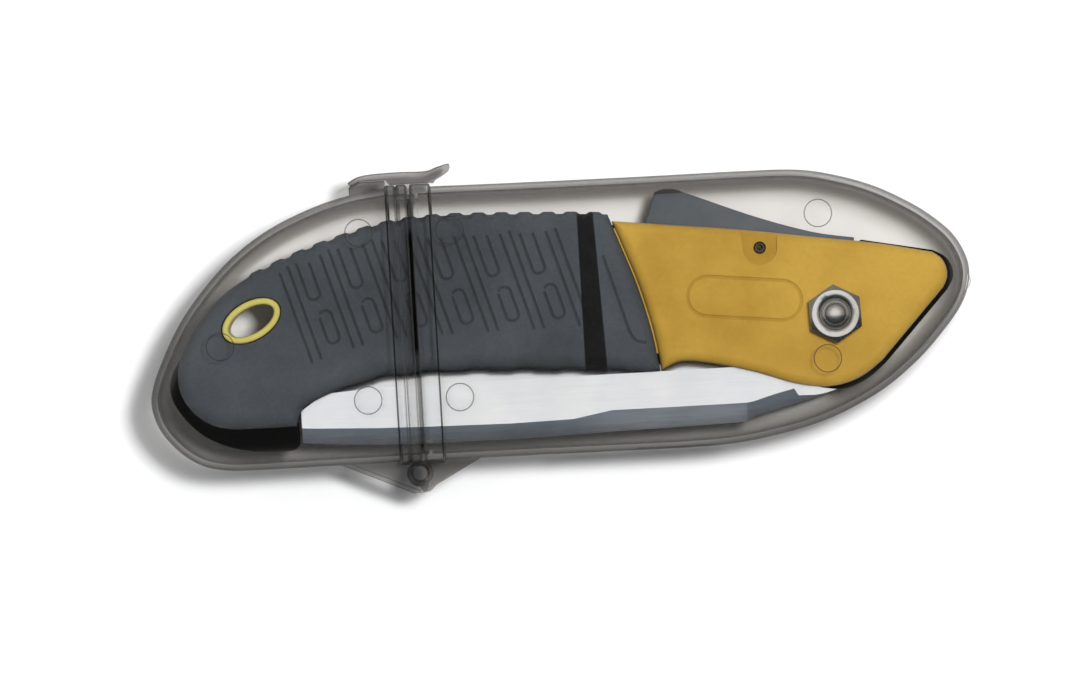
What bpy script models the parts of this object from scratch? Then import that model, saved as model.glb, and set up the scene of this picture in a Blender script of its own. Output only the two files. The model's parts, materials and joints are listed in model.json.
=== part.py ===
"""A folding utility knife lying in its closed, see-through carrying case.

The case is two moulded half shells that part across its length: a short cap, hinged on a
pin below its mouth and held by a snap latch above it, and a long body. The knife inside
has two hard scales with rubber grips, two steel liners, a spacer, a folding blade on a
bolt and nut, and a lock lever on its back.

X runs along the case, Y from the hinge to the latch, and Z up through its thickness. The
case lies on its back: the origin is the middle of the floor under it.
"""

import math

import bmesh
import bpy
from mathutils import Matrix, Vector

MM = 0.001

# Overall sizes of the knife, which the case follows.
KNIFE_LENGTH = 201.9 * MM
KNIFE_HEIGHT = 61.6 * MM

# The outlines below are drawn for a knife of this length and height, in millimetres from
# the hinge pin of the case, with the bottom of the case this far above the pin.
DRAWN_LENGTH = 201.9
DRAWN_HEIGHT = 61.6
DRAWN_FLOOR = 3.3

# Layers of the knife, from its middle plane outwards.
BLADE_THICKNESS = 3.0 * MM
WASHER_THICKNESS = 0.4 * MM
LINER_THICKNESS = 1.0 * MM
SCALE_THICKNESS = 5.6 * MM
CORE_THICKNESS = 2.8 * MM
GRIP_PROUD = 1.0 * MM
LAYER_GAP = 0.15 * MM
FIT = 0.3 * MM

# Pivot of the blade: an M8 bolt in a sleeve, with a low nut.
BOLT_DIAMETER = 8.0 * MM
SLEEVE_WALL = 0.8 * MM
NUT_ACROSS_FLATS = 13.0 * MM
NUT_HEIGHT = 5.0 * MM
BOLT_HEAD_HEIGHT = 5.0 * MM
BOLT_DOME = 0.9 * MM
WASHER_DIAMETER = 20.0 * MM
HEX_LEAN = math.radians(1.8)
BOLT_PLAY = 0.15 * MM

# Blade.
SPINE_THICKNESS = 1.7 * MM
EDGE_THICKNESS = 0.3 * MM
GRIND_WIDTH = 9.0 * MM
TANG_RADIUS = 14.5 * MM

# Lock lever, its hollow pin and its spring.
LEVER_PIN_DIAMETER = 2.9 * MM
LEVER_PIN_BORE = 1.6 * MM
LEVER_RECESS_RADIUS = 4.4 * MM
LEVER_RECESS_DEPTH = 1.0 * MM
LEVER_SIDE_PLAY = 0.2 * MM
SPRING_THICKNESS = 1.0 * MM

# Fasteners and the stop of the blade.
STOP_PIN_DIAMETER = 4.0 * MM
SCREW_DIAMETER = 3.0 * MM
SCREW_HEAD_DIAMETER = 6.0 * MM
SCREW_HEAD_HEIGHT = 2.4 * MM
SCREW_HEAD_SUNK = 0.4 * MM
SCREW_GRIP = 2.0 * MM

# Lanyard eyelet, an oval tube through the handle.
EYELET_LENGTH = 16.2 * MM
EYELET_WIDTH = 9.8 * MM
EYELET_WALL = 1.7 * MM
EYELET_TILT = math.radians(26.6)
EYELET_PROUD = 0.3 * MM

# Edges of the handle.
SCALE_EDGE = 2.6 * MM
GRIP_EDGE = 4.0 * MM
RIB_PITCH = 6.0 * MM
RIB_HEIGHT = 0.6 * MM
NUB_PITCH = 12.0 * MM
NUB_HEIGHT = 0.35 * MM

# Case.
CASE_WALL = 1.6 * MM
CASE_EDGE = 7.0 * MM
CASE_ROOM = 0.6 * MM
MOUTH_GAP = 0.9 * MM
CAP_LIP_X = 0.6 * MM
COLLAR_PROUD = 0.8 * MM
COLLAR_FACE_PROUD = 0.4 * MM
BODY_COLLAR_WIDTH = 5.2 * MM
CAP_BAND_WIDTH = 2.6 * MM
CAP_BAND_GROOVE = 0.25 * MM
SPIGOT_LENGTH = 3.6 * MM
SPIGOT_WALL = 0.9 * MM
SPIGOT_PLAY = 0.2 * MM
MARK_RADIUS = 3.5 * MM
MARK_DEPTH = 0.25 * MM
GATE_RADIUS = 2.6 * MM
GATE_PROUD = 0.8 * MM
GATE_HEIGHT = 5.0 * MM

# Hinge of the case, on a pin along Z.
PIN_DROP = 3.3 * MM
PIN_RADIUS = 2.1 * MM
PIN_PLAY = 0.12 * MM
BARREL_RADIUS = 3.25 * MM
CAP_KNUCKLE_HALF = 4.2 * MM
KNUCKLE_LENGTH = 4.5 * MM
GUSSET_THICKNESS = 1.6 * MM
FLANGE_THICKNESS = 1.1 * MM

# Latch of the case.
LATCH_WIDTH = 15.0 * MM
LATCH_THICKNESS = 1.5 * MM
LATCH_BLOCK_GAP = 0.35 * MM

# Fineness: sides of a circle, steps between two points of a curve, and steps of an edge.
ROUND = 28
CURVE_STEPS = 2
EDGE_STEPS = 2
CASE_EDGE_STEPS = 3

# Heights of the layers above the middle plane.
liner_low = BLADE_THICKNESS / 2 + WASHER_THICKNESS + 2 * LAYER_GAP
liner_high = liner_low + LINER_THICKNESS
scale_low = liner_high + LAYER_GAP
scale_high = scale_low + SCALE_THICKNESS
core_high = scale_low + CORE_THICKNESS
grip_high = scale_high + GRIP_PROUD
spacer_half = liner_low - LAYER_GAP
nut_low = scale_high + LAYER_GAP
nut_high = nut_low + NUT_HEIGHT
bolt_high = nut_high + BOLT_DOME
bolt_low = -(nut_low + BOLT_HEAD_HEIGHT)
case_inner_half = max(bolt_high, -bolt_low) + CASE_ROOM
case_half = case_inner_half + CASE_WALL
body_mouth = CAP_LIP_X + MOUTH_GAP
bolt_radius = BOLT_DIAMETER / 2
sleeve_inner = bolt_radius + BOLT_PLAY
sleeve_outer = sleeve_inner + SLEEVE_WALL
bolt_hole = bolt_radius + FIT


def at(x, y):
    """A drawn point, in millimetres from the hinge pin, at the real length and height."""
    height = PIN_DROP + (y - DRAWN_FLOOR) * KNIFE_HEIGHT / DRAWN_HEIGHT
    return Vector((x * KNIFE_LENGTH / DRAWN_LENGTH, height))


PIVOT = at(108.25, 34.65)
LEVER_PIN = at(90.05, 52.6)
EYELET = at(-40.8, 41.5)
STOP_PIN = at(125.4, 43.0)
SCREWS = {"rear": at(-20.0, 46.0), "middle": at(40.0, 51.5), "front": at(131.6, 44.2)}

# Outlines run anticlockwise. Each is a list of runs: a run of two points is straight, and
# a longer one is a smooth curve through its points.
CASE_BODY_RUNS = [
    [
        (0, 3.3), (25, 3.1), (50, 2.85), (70, 2.7), (82, 3.2), (92, 4.7), (101, 6.7), (110, 9.9),
        (120, 15.0), (129, 21.9), (135.5, 28.6), (140, 34.2), (142.5, 39.4), (143.1, 44.2),
        (142.1, 48.5), (139.4, 53.3), (135, 57.6), (129, 61.9), (120, 66.7), (110, 70.1),
        (100, 72.0), (85, 72.4), (60, 72.5), (30, 72.8), (0, 73.2),
    ]
]
CASE_CAP_RUNS = [
    [
        (0, 73.2), (-8, 72.9), (-16, 71.6), (-25, 68.9), (-35, 64.5), (-44, 58.5), (-52, 50.8),
        (-59.2, 41.6), (-64.6, 31.4), (-66.9, 25.4), (-67.4, 21.0), (-66.0, 15.8), (-63.1, 11.4),
        (-59.2, 7.6), (-54.5, 4.9), (-48.5, 3.6), (-42, 3.3),
    ],
    [(-42, 3.3), (0, 3.3)],
]
SCALE_RUNS = [
    [
        (63.3, 22.9), (68.7, 24.8), (77, 23.6), (87.6, 20.8), (96.3, 17.7), (102.2, 16.4),
        (106.5, 16.2), (111, 17.0), (115.4, 18.9), (119.8, 22.1),
    ],
    [(119.8, 22.1), (136.4, 39.8)],
    [(136.4, 39.8), (137.5, 42.2), (137.5, 44.7), (136.4, 47.2), (134.2, 49.0)],
    [
        (134.2, 49.0), (120, 52.1), (103.5, 54.7), (85.1, 57.6), (70, 59.5), (52.7, 61.6),
    ],
    [(52.7, 61.6), (55.4, 54.4), (58.8, 44.6), (61.8, 32.8), (63.3, 22.9)],
]
GRIP_RUNS = [
    [(62.9, 22.7), (61.4, 32.8), (58.4, 44.6), (55.0, 54.4), (51.7, 63.4)],
    [
        (51.7, 63.4), (42, 64.1), (34, 64.5), (22, 65.1), (10, 65.5), (0, 65.1), (-8, 63.9),
        (-18, 61.3), (-29, 57.7), (-41.2, 52.6),
    ],
    [
        (-41.2, 52.6), (-48, 48.2), (-54.6, 41.2), (-58.4, 35.4), (-60.3, 30.0), (-60.1, 24.4),
        (-57.6, 19.6), (-53.2, 15.8), (-47.8, 14.2), (-40.5, 13.9), (-30.9, 13.9),
    ],
    [(-30.9, 13.9), (-30.0, 16.6), (-28.4, 18.8), (-25.0, 20.5), (-20.0, 22.5)],
    [
        (-20.0, 22.5), (-14.5, 24.3), (-8, 25.6), (3, 26.3), (15, 26.1), (30, 25.4), (42, 24.6),
        (52, 23.8), (62.9, 22.7),
    ],
]
CORE_RUNS = [
    [(57.5, 26.4), (68.0, 28.0)],
    [(68.0, 28.0), (62.0, 59.8)],
    [(62.0, 59.8), (49.0, 59.8)],
    [
        (49.0, 59.8), (30, 61.0), (8, 61.8), (-8, 60.1), (-28, 54.0), (-44.6, 46.4),
        (-52.2, 38.4), (-56.4, 29.0), (-54.0, 22.4), (-46.5, 17.8), (-33.5, 17.8), (-28, 21.6),
        (-20, 26.0), (-10, 28.8), (3, 29.9), (22, 29.4), (42, 28.2), (57.5, 26.4),
    ],
]
LINER_RUNS = [
    [
        (-30.9, 15.2), (-27.0, 21.4), (-19.0, 24.6), (-8, 27.2), (3, 27.9), (16, 27.7),
        (32, 26.9), (50, 25.4), (62, 24.6), (69, 26.3), (78, 25.2), (88, 22.4), (97, 18.9),
        (104.0, 16.0),
    ],
    [(104.0, 16.0), (108.0, 15.4), (112.0, 15.9), (116.0, 17.7), (120.2, 20.9), (124.0, 24.8)],
    [(124.0, 24.8), (137.6, 39.3)],
    [(137.6, 39.3), (139.2, 42.2), (139.0, 45.2), (137.3, 47.8), (134.4, 49.5)],
    [(134.4, 49.5), (116.2, 53.2)],
    [(116.2, 53.2), (115.2, 51.9)],
    [
        (115.2, 51.9), (103, 53.4), (85, 56.3), (70, 58.2), (53, 60.6), (42, 62.8), (22, 63.8),
        (9, 64.2), (-8, 62.6), (-18, 60.0), (-29, 56.4), (-40.8, 51.3), (-47.2, 47.0),
        (-53.5, 40.4), (-57.2, 34.8), (-59.0, 29.8), (-58.8, 24.8), (-56.6, 20.4), (-52.6, 16.9),
        (-47.4, 15.4), (-40, 15.1), (-30.9, 15.2),
    ],
]
SPACER_RUNS = [
    [
        (-58.4, 34.6), (-61.6, 29.8), (-62.8, 25.4), (-61.8, 21.2), (-58.6, 16.4), (-54.4, 12.5),
        (-48.6, 9.6), (-42.0, 8.0), (-35.0, 7.6), (-31.6, 7.9), (-30.3, 9.4),
    ],
    [(-30.3, 9.4), (-30.5, 20.6)],
    [(-30.5, 20.6), (-29.2, 26.6), (-24.0, 31.2), (-14.0, 33.9), (10, 36.2), (54.0, 38.6)],
    [(54.0, 38.6), (55.5, 45.0)],
    [(55.5, 45.0), (53.2, 52.0)],
    [(53.2, 52.0), (52.0, 59.4)],
    [
        (52.0, 59.4), (42, 61.4), (22, 62.4), (9, 62.8), (-8, 61.2), (-18, 58.6), (-29, 55.0),
        (-40.3, 49.9), (-46.4, 45.8), (-52.4, 39.6), (-56.2, 35.8),
    ],
    [(-56.2, 35.8), (-58.4, 34.6)],
]
LEVER_RUNS = [
    [(61.0, 60.0), (61.8, 58.2)],
    [(61.8, 58.2), (72.0, 56.4), (80.0, 52.9), (85.5, 48.9), (90.5, 47.6), (97.5, 49.2)],
    [(97.5, 49.2), (105.0, 51.4)],
    [(105.0, 51.4), (109.6, 51.3)],
    [(109.6, 51.3), (110.4, 49.9)],
    [(110.4, 49.9), (114.4, 50.6)],
    [(114.4, 50.6), (114.5, 53.9)],
    [
        (114.5, 53.9), (106.6, 55.3), (100.6, 56.9), (94.5, 58.9), (88.4, 61.1), (81.7, 63.8),
        (76.0, 66.2), (71.5, 68.0),
    ],
    [(71.5, 68.0), (69.4, 68.9), (66.6, 69.2), (64.1, 68.5)],
    [(64.1, 68.5), (61.0, 60.0)],
]
SPRING_RUNS = [[(56.2, 47.0), (63.0, 51.6), (71.0, 54.0), (79.0, 51.2)]]
# Blade, folded: how far along it each cross-section lies, its spine and its bevel line.
BLADE_SECTIONS = [
    (-29.6, 9.5, 13.3), (-28.6, 9.3, 13.2), (-26.0, 9.0, 13.0), (-22.0, 8.7, 12.8),
    (-10.0, 7.9, 12.2), (4.0, 7.5, 11.8), (24.0, 7.4, 11.4), (40.0, 7.6, 11.6),
    (50.0, 7.8, 13.3), (68.0, 8.0, 13.2), (84.6, 8.3, 13.2), (86.2, 9.6, 13.4),
    (92.0, 11.0, 15.0), (99.0, 12.7, 16.6), (105.0, 14.4, 17.8),
]
BLADE_EDGE_Y = 31.5
BLADE_TIP_TOP_Y = 22.0
BLADE_TIP_CURVE = 10.0
TANG_RUNS = [
    [(98.0, 14.3), (103.5, 14.3), (109.0, 15.8), (114.5, 18.6)],
    [(114.5, 18.6), (121.6, 29.4)],
    [(121.6, 29.4), (122.7, 34.6), (121.6, 40.4), (117.4, 45.8), (111.6, 48.6), (104.6, 48.6)],
    [(104.6, 48.6), (97.4, 44.2)],
    [(97.4, 44.2), (92.5, 34.4), (90.0, 28.0)],
    [(90.0, 28.0), (98.0, 14.3)],
]
CAP_GUSSET_RUNS = [
    [(-22.0, 4.1), (-4.4, -3.9)],
    [(-4.4, -3.9), (-2.2, -4.8), (0.2, -5.1), (1.4, -4.7), (2.0, -3.2)],
    [(2.0, -3.2), (0.0, 0.0)],
    [(0.0, 0.0), (0.2, 4.1)],
    [(0.2, 4.1), (-22.0, 4.1)],
]
BODY_GUSSET_RUNS = [
    [(-0.4, -3.0), (0.6, -4.6), (2.4, -4.6), (3.9, -3.2)],
    [(3.9, -3.2), (15.6, 3.0)],
    [(15.6, 3.0), (15.6, 4.1)],
    [(15.6, 4.1), (1.6, 4.1)],
    [(1.6, 4.1), (0.0, 0.0)],
    [(0.0, 0.0), (-0.4, -3.0)],
]
MARKS = [
    (-48.9, 35.3), (-12, 19.5), (-12, 62.2),
    (11.4, 19.0), (11.2, 61.6), (105.2, 60.5), (105.6, 23.4),
]
GATE = (142.9, 41.2)

COLOURS = {
    "smoke": ((0.46, 0.44, 0.41, 0.35), 0.08, 0.0),
    "yellow": ((0.62, 0.39, 0.08, 1.0), 0.45, 0.0),
    "rubber": ((0.075, 0.09, 0.105, 1.0), 0.75, 0.0),
    "black": ((0.006, 0.006, 0.007, 1.0), 0.5, 0.2),
    "steel": ((0.72, 0.75, 0.78, 1.0), 0.16, 1.0),
    "zinc": ((0.66, 0.65, 0.62, 1.0), 0.25, 1.0),
    "brass": ((0.62, 0.46, 0.2, 1.0), 0.35, 1.0),
    "lever": ((0.11, 0.125, 0.14, 1.0), 0.5, 0.0),
}


def material(slot):
    if slot in bpy.data.materials:
        return bpy.data.materials[slot]
    colour, roughness, metallic = COLOURS[slot]
    made = bpy.data.materials.new(slot)
    made.use_nodes = True
    shader = made.node_tree.nodes["Principled BSDF"]
    shader.inputs["Base Color"].default_value = colour
    shader.inputs["Roughness"].default_value = roughness
    shader.inputs["Metallic"].default_value = metallic
    shader.inputs["Alpha"].default_value = colour[3]
    return made


# ---- outlines


def smooth(points, steps):
    """A curve through the points, with this many steps between each two of them."""
    if len(points) == 2:
        return list(points)
    ends = [2 * points[0] - points[1], *points, 2 * points[-1] - points[-2]]
    found = []
    for a, b, c, d in zip(ends, ends[1:], ends[2:], ends[3:]):
        for step in range(steps):
            t = step / steps
            found.append(
                0.5 * (2 * b + (c - a) * t + (2 * a - 5 * b + 4 * c - d) * t**2)
                + 0.5 * (3 * b - a - 3 * c + d) * t**3
            )
    return found + [points[-1]]


def joined(runs):
    """One closed outline from runs that each start where the one before ends."""
    return [point for run in runs for point in run[:-1]]


def drawn(runs, steps=CURVE_STEPS):
    return joined([smooth([at(*point) for point in run], steps) for run in runs])


def inset(outline, distance):
    """The outline moved inwards by a distance, or outwards by a negative one."""
    moved = []
    for i, here in enumerate(outline):
        before = (here - outline[i - 1]).normalized()
        after = (outline[(i + 1) % len(outline)] - here).normalized()
        normals = Vector((-before.y, before.x)), Vector((-after.y, after.x))
        share = max(1 + normals[0].dot(normals[1]), 0.25)
        moved.append(here + (normals[0] + normals[1]) * distance / share)
    return moved


def circle(centre, radius, count=ROUND, turn=0.0):
    angles = [turn + 2 * math.pi * k / count for k in range(count)]
    return [centre + radius * Vector((math.cos(a), math.sin(a))) for a in angles]


def oval(centre, length, width, tilt, count=ROUND):
    found = []
    for k in range(count):
        a = 2 * math.pi * k / count
        point = Vector((length / 2 * math.cos(a), width / 2 * math.sin(a)))
        point.rotate(Matrix.Rotation(tilt, 2))
        found.append(centre + point)
    return found


def box(low_x, low_y, high_x, high_y):
    return [Vector(p) for p in ((low_x, low_y), (high_x, low_y), (high_x, high_y), (low_x, high_y))]


def ribbed(run, pitch, height):
    """A run with low ribs that stand out to its right, a whole number of them along it."""
    lengths = [(b - a).length for a, b in zip(run, run[1:])]
    count = max(1, round(sum(lengths) / pitch))
    shape = ((0.0, 0.0), (0.22, 0.0), (0.34, 1.0), (0.80, 1.0), (0.92, 0.0))
    found = []
    for k in range(count):
        for share, rise in shape:
            distance = (k + share) / count * sum(lengths)
            i = 0
            while i < len(lengths) - 1 and distance > lengths[i]:
                distance -= lengths[i]
                i += 1
            along = (run[i + 1] - run[i]).normalized()
            out = Vector((along.y, -along.x))
            found.append(run[i] + along * distance + out * height * rise)
    return found + [run[-1]]


# ---- solids


def solid(name, rings):
    """A closed body through rings of equally many points, capped at both ends."""
    mesh = bmesh.new()
    rows = [[mesh.verts.new(point) for point in ring] for ring in rings]
    for low, high in zip(rows, rows[1:]):
        for i in range(len(low)):
            j = (i + 1) % len(low)
            mesh.faces.new((low[i], low[j], high[j], high[i]))
    mesh.faces.new(rows[0][::-1])
    mesh.faces.new(rows[-1])
    bmesh.ops.recalc_face_normals(mesh, faces=mesh.faces)
    data = bpy.data.meshes.new(name)
    mesh.to_mesh(data)
    mesh.free()
    made = bpy.data.objects.new(name, data)
    bpy.context.scene.collection.objects.link(made)
    return made


def slab(name, outline, low, high, low_edge=0.0, high_edge=0.0, steps=EDGE_STEPS):
    """An outline between two heights, with a rounded edge at either."""
    places = []
    for k in range(steps + 1 if low_edge else 1):
        turn = math.pi / 2 * k / steps
        places.append((low_edge * (1 - math.sin(turn)), low + low_edge * (1 - math.cos(turn))))
    for k in range(steps + 1 if high_edge else 1):
        turn = math.pi / 2 * (k / steps if high_edge else 0)
        places.append((high_edge * (1 - math.cos(turn)), high - high_edge * (1 - math.sin(turn))))
    return solid(name, [[(p.x, p.y, z) for p in inset(outline, d)] for d, z in places])


def turned(name, centre, profile, count=ROUND, turn=0.0):
    """A body of revolution about Z through a centre, from (radius, height) pairs."""
    rings = [[(*p, z) for p in circle(centre, radius, count, turn)] for radius, z in profile]
    return solid(name, rings)


def combine(target, other, operation):
    """Apply one Boolean to a body, and remove the helper that it used."""
    modifier = target.modifiers.new(operation, "BOOLEAN")
    modifier.operation = operation
    modifier.object = other
    modifier.solver = "EXACT"
    graph = bpy.context.evaluated_depsgraph_get()
    result = bpy.data.meshes.new_from_object(target.evaluated_get(graph))
    result.name = target.name
    target.modifiers.clear()
    target.data = result
    bpy.data.objects.remove(other)
    return target


def cut(target, outline, low, high):
    return combine(target, slab("cutter", outline, low, high), "DIFFERENCE")


def finish(made, slot, parent):
    made.data.materials.clear()
    made.data.materials.append(material(slot))
    made.data.shade_smooth()
    made.data.set_sharp_from_angle(angle=math.radians(32))
    made.parent = parent
    made.matrix_parent_inverse = parent.matrix_world.inverted()
    return made


def joint(name, place, parent=None):
    """An empty on a joint's axis, which carries the pieces of one moving body."""
    made = bpy.data.objects.new(name, None)
    bpy.context.scene.collection.objects.link(made)
    made.empty_display_size = 0.01
    made.parent = parent
    made.matrix_world = Matrix.Translation((*place, 0))
    bpy.context.view_layer.update()
    return made


# ---- case


def case_outline():
    return drawn(CASE_BODY_RUNS + CASE_CAP_RUNS)


def case_solid(name, grown, face_grown=None):
    """The whole case, solid, with its sides, and its faces if asked, moved outwards."""
    half = case_half + (grown if face_grown is None else face_grown)
    edge = CASE_EDGE + grown
    return slab(name, inset(case_outline(), -grown), -half, half, edge, edge, CASE_EDGE_STEPS)


def band(low_x, high_x, grown, face_grown=None):
    """The stretch of the grown case between two places along it."""
    made = case_solid("band", grown, face_grown)
    reach = box(low_x, -1.0, high_x, 1.0)
    return combine(made, slab("reach", reach, -1.0, 1.0), "INTERSECT")


def hinge_relief(made):
    """Collars end beside the knuckles, so that the other half can swing past them."""
    reach = CAP_KNUCKLE_HALF + KNUCKLE_LENGTH + 2 * FIT
    around = box(-0.012, -0.02, 0.012, PIN_DROP - 0.02 * MM)
    return cut(made, around, -reach, reach)


def hollow(made, marks):
    combine(made, case_solid("hollow", -CASE_WALL), "DIFFERENCE")
    for x, y in marks:
        low, high = case_inner_half - MARK_DEPTH, case_inner_half + MARK_DEPTH
        cut(made, circle(at(x, y), MARK_RADIUS, 18), low, high)
    return made


def case_body(parent):
    made = case_solid("case_body", 0.0)
    collar = band(-0.02, body_mouth + BODY_COLLAR_WIDTH, COLLAR_PROUD, COLLAR_FACE_PROUD)
    combine(made, collar, "UNION")
    gate = slab(
        "gate", circle(at(*GATE) - Vector((GATE_RADIUS - GATE_PROUD, 0)), GATE_RADIUS, 16),
        -GATE_HEIGHT / 2, GATE_HEIGHT / 2,
    )
    combine(made, gate, "UNION")
    hinge_relief(made)
    hollow(made, [mark for mark in MARKS if mark[0] > 0])
    cut(made, box(-1.0, -1.0, body_mouth, 1.0), -1.0, 1.0)
    # The spigot starts inside the shell's wall, so that the two are one body.
    spigot = band(body_mouth - SPIGOT_LENGTH, body_mouth + 2 * MM, -CASE_WALL - SPIGOT_PLAY)
    combine(spigot, case_solid("hollow", -CASE_WALL - SPIGOT_PLAY - SPIGOT_WALL), "DIFFERENCE")
    root = band(body_mouth + 1 * MM, body_mouth + 2 * MM, -CASE_WALL / 2)
    combine(root, case_solid("hollow", -CASE_WALL - SPIGOT_PLAY - SPIGOT_WALL), "DIFFERENCE")
    combine(spigot, root, "UNION")
    combine(made, spigot, "UNION")
    for side in (1, -1):
        start = CAP_KNUCKLE_HALF + FIT
        near, far = sorted((side * start, side * (start + KNUCKLE_LENGTH)))
        knuckle = slab("knuckle", circle(Vector((0, 0)), BARREL_RADIUS), near, far)
        plate = sorted((side * start, side * (start + GUSSET_THICKNESS)))
        combine(knuckle, slab("gusset", gusset(BODY_GUSSET_RUNS), *plate), "UNION")
        # A web joins each knuckle to the shell above it over its whole length.
        web = [Vector((0.0, 0.0)), Vector((PIN_DROP, 0.0)), *web_top()]
        combine(knuckle, slab("web", web, near, far), "UNION")
        combine(made, knuckle, "UNION")
    reach = CAP_KNUCKLE_HALF + KNUCKLE_LENGTH + 2 * FIT
    cut(made, circle(Vector((0, 0)), PIN_RADIUS + PIN_PLAY), -reach, reach)
    return finish(made, "smoke", parent)


def web_top():
    """The two upper corners of the web between a body knuckle and the shell."""
    return [
        Vector((body_mouth + 3 * MM, PIN_DROP + CASE_WALL / 2)),
        Vector((body_mouth + 0.1 * MM, PIN_DROP + CASE_WALL / 2)),
    ]


def gusset(runs):
    """A gusset's outline, which keeps its size as the case grows, about the hinge pin."""
    scale = PIN_DROP / DRAWN_FLOOR
    runs = [[Vector(point) * scale for point in run] for run in runs]
    return joined([smooth(run, CURVE_STEPS) for run in runs])


def case_cap(parent):
    made = case_solid("case_cap", 0.0)
    lip = band(CAP_LIP_X - CAP_BAND_WIDTH, 0.02, COLLAR_PROUD, COLLAR_FACE_PROUD)
    combine(made, lip, "UNION")
    high = CAP_LIP_X - CAP_BAND_WIDTH - CAP_BAND_GROOVE
    second = band(high - CAP_BAND_WIDTH, high, COLLAR_PROUD, COLLAR_FACE_PROUD)
    combine(made, second, "UNION")
    hinge_relief(made)
    half = LATCH_WIDTH / 2
    combine(made, slab("latch_base", latch_base(), -half, half), "UNION")
    hollow(made, [mark for mark in MARKS if mark[0] < 0])
    cut(made, box(CAP_LIP_X, -1.0, 1.0, 1.0), -1.0, 1.0)
    web = slab("gusset", gusset(CAP_GUSSET_RUNS), -GUSSET_THICKNESS / 2, GUSSET_THICKNESS / 2)
    knuckle = slab("knuckle", circle(Vector((0, 0)), BARREL_RADIUS), -CAP_KNUCKLE_HALF, CAP_KNUCKLE_HALF)
    combine(knuckle, web, "UNION")
    flange = slab("flange", flange_outline(), -CAP_KNUCKLE_HALF, CAP_KNUCKLE_HALF)
    combine(knuckle, flange, "UNION")
    combine(made, knuckle, "UNION")
    cut(made, circle(Vector((0, 0)), PIN_RADIUS + PIN_PLAY), -0.01, 0.01)
    return finish(made, "smoke", parent)


def flange_outline():
    """The flange runs along the gusset's lower edge, across the width of the knuckle."""
    scale = PIN_DROP / DRAWN_FLOOR
    start, end = Vector((-22.6, 4.4)) * scale, Vector((-1.6, -5.1)) * scale
    along = (end - start).normalized()
    inward = Vector((-along.y, along.x)) * FLANGE_THICKNESS
    return [start, end, end + inward + along * FLANGE_THICKNESS, start + inward]


def case_top(x):
    """The height of the case's upper edge at a place near the mouth."""
    above = [p for p in case_outline() if p.y > at(0, 60).y and abs(p.x) < 0.04]
    above.sort(key=lambda p: p.x)
    for a, b in zip(above, above[1:]):
        if a.x <= x <= b.x:
            return a.y + (b.y - a.y) * (x - a.x) / (b.x - a.x)
    return above[0].y


def latch_low():
    """The underside of the latch's tongue, just clear of the collars."""
    return case_top(CAP_LIP_X) + COLLAR_PROUD + LATCH_BLOCK_GAP


def latch_base():
    low = latch_low()
    left, right = -14.0 * MM, CAP_LIP_X - 2 * CAP_BAND_WIDTH - CAP_BAND_GROOVE - 0.1 * MM
    return [
        Vector((left, case_top(left) - CASE_WALL / 2)),
        Vector((right, case_top(right) - CASE_WALL / 2)),
        Vector((right, low + 0.95 * MM)),
        Vector((left + 2.6 * MM, low + 0.95 * MM)),
        Vector((left, low - 0.3 * MM)),
    ]


def latch_tongue(parent):
    """A springy tongue from the cap over the body's collar, with a curled finger tab."""
    low = latch_low()
    thick = LATCH_THICKNESS
    hook = body_mouth + BODY_COLLAR_WIDTH
    under = [
        Vector((-13.8 * MM, low + 0.15 * MM)),
        Vector((-11.4 * MM, low + 1.3 * MM)),
        Vector((CAP_LIP_X - 2 * CAP_BAND_WIDTH - 0.1 * MM, low + 1.3 * MM)),
        Vector((CAP_LIP_X - 2 * CAP_BAND_WIDTH + 0.9 * MM, low)),
        Vector((hook + 0.3 * MM, low)),
        Vector((hook + 0.35 * MM, low - 0.1 * MM)),
        Vector((hook + 0.9 * MM, low - 0.1 * MM)),
        Vector((hook + 1.4 * MM, low + 0.7 * MM)),
    ]
    tab_low = smooth([
        under[-1],
        Vector((hook + 3.2 * MM, low + 1.6 * MM)),
        Vector((hook + 4.8 * MM, low + 2.7 * MM)),
        Vector((hook + 5.3 * MM, low + 3.7 * MM)),
    ], CURVE_STEPS)
    top = smooth([
        Vector((hook + 5.2 * MM, low + 4.4 * MM)),
        Vector((hook + 4.2 * MM, low + 4.3 * MM)),
        Vector((hook + 1.8 * MM, low + 1.6 * MM + thick * 1.35)),
        Vector((hook - 1.0 * MM, low + 1.3 * MM + thick)),
        Vector((-1.0 * MM, low + 1.45 * MM + thick)),
        Vector((-8.0 * MM, low + 1.3 * MM + thick)),
        Vector((-11.8 * MM, low + 1.0 * MM + thick * 0.8)),
        Vector((-14.2 * MM, low + 0.15 * MM + thick * 0.5)),
    ], CURVE_STEPS)
    half = LATCH_WIDTH / 2
    made = slab("latch_tongue", under + tab_low[1:] + top, -half, half)
    return finish(made, "smoke", parent)


def hinge_pin(parent):
    half = CAP_KNUCKLE_HALF + FIT + KNUCKLE_LENGTH + 0.1 * MM
    chamfer = 0.3 * MM
    profile = [
        (PIN_RADIUS - chamfer, -half), (PIN_RADIUS, chamfer - half),
        (PIN_RADIUS, half - chamfer), (PIN_RADIUS - chamfer, half),
    ]
    return finish(turned("hinge_pin", Vector((0, 0)), profile), "smoke", parent)


# ---- handle


def grip_outline():
    front, top, butt, choil, bottom = [
        smooth([at(*point) for point in run], CURVE_STEPS) for run in GRIP_RUNS
    ]
    return joined([
        front, ribbed(top, RIB_PITCH, RIB_HEIGHT), butt, choil, ribbed(bottom, NUB_PITCH, NUB_HEIGHT),
    ])


def eyelet_hole(grown):
    return oval(EYELET, EYELET_LENGTH + 2 * grown, EYELET_WIDTH + 2 * grown, EYELET_TILT)


def layer(name, side, outline, low, high, edge=0.0):
    """A slab on one side of the middle plane, its rounded edge on the outside."""
    if side > 0:
        return slab(name, outline, low, high, 0.0, edge)
    return slab(name, outline, -high, -low, edge, 0.0)


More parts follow.
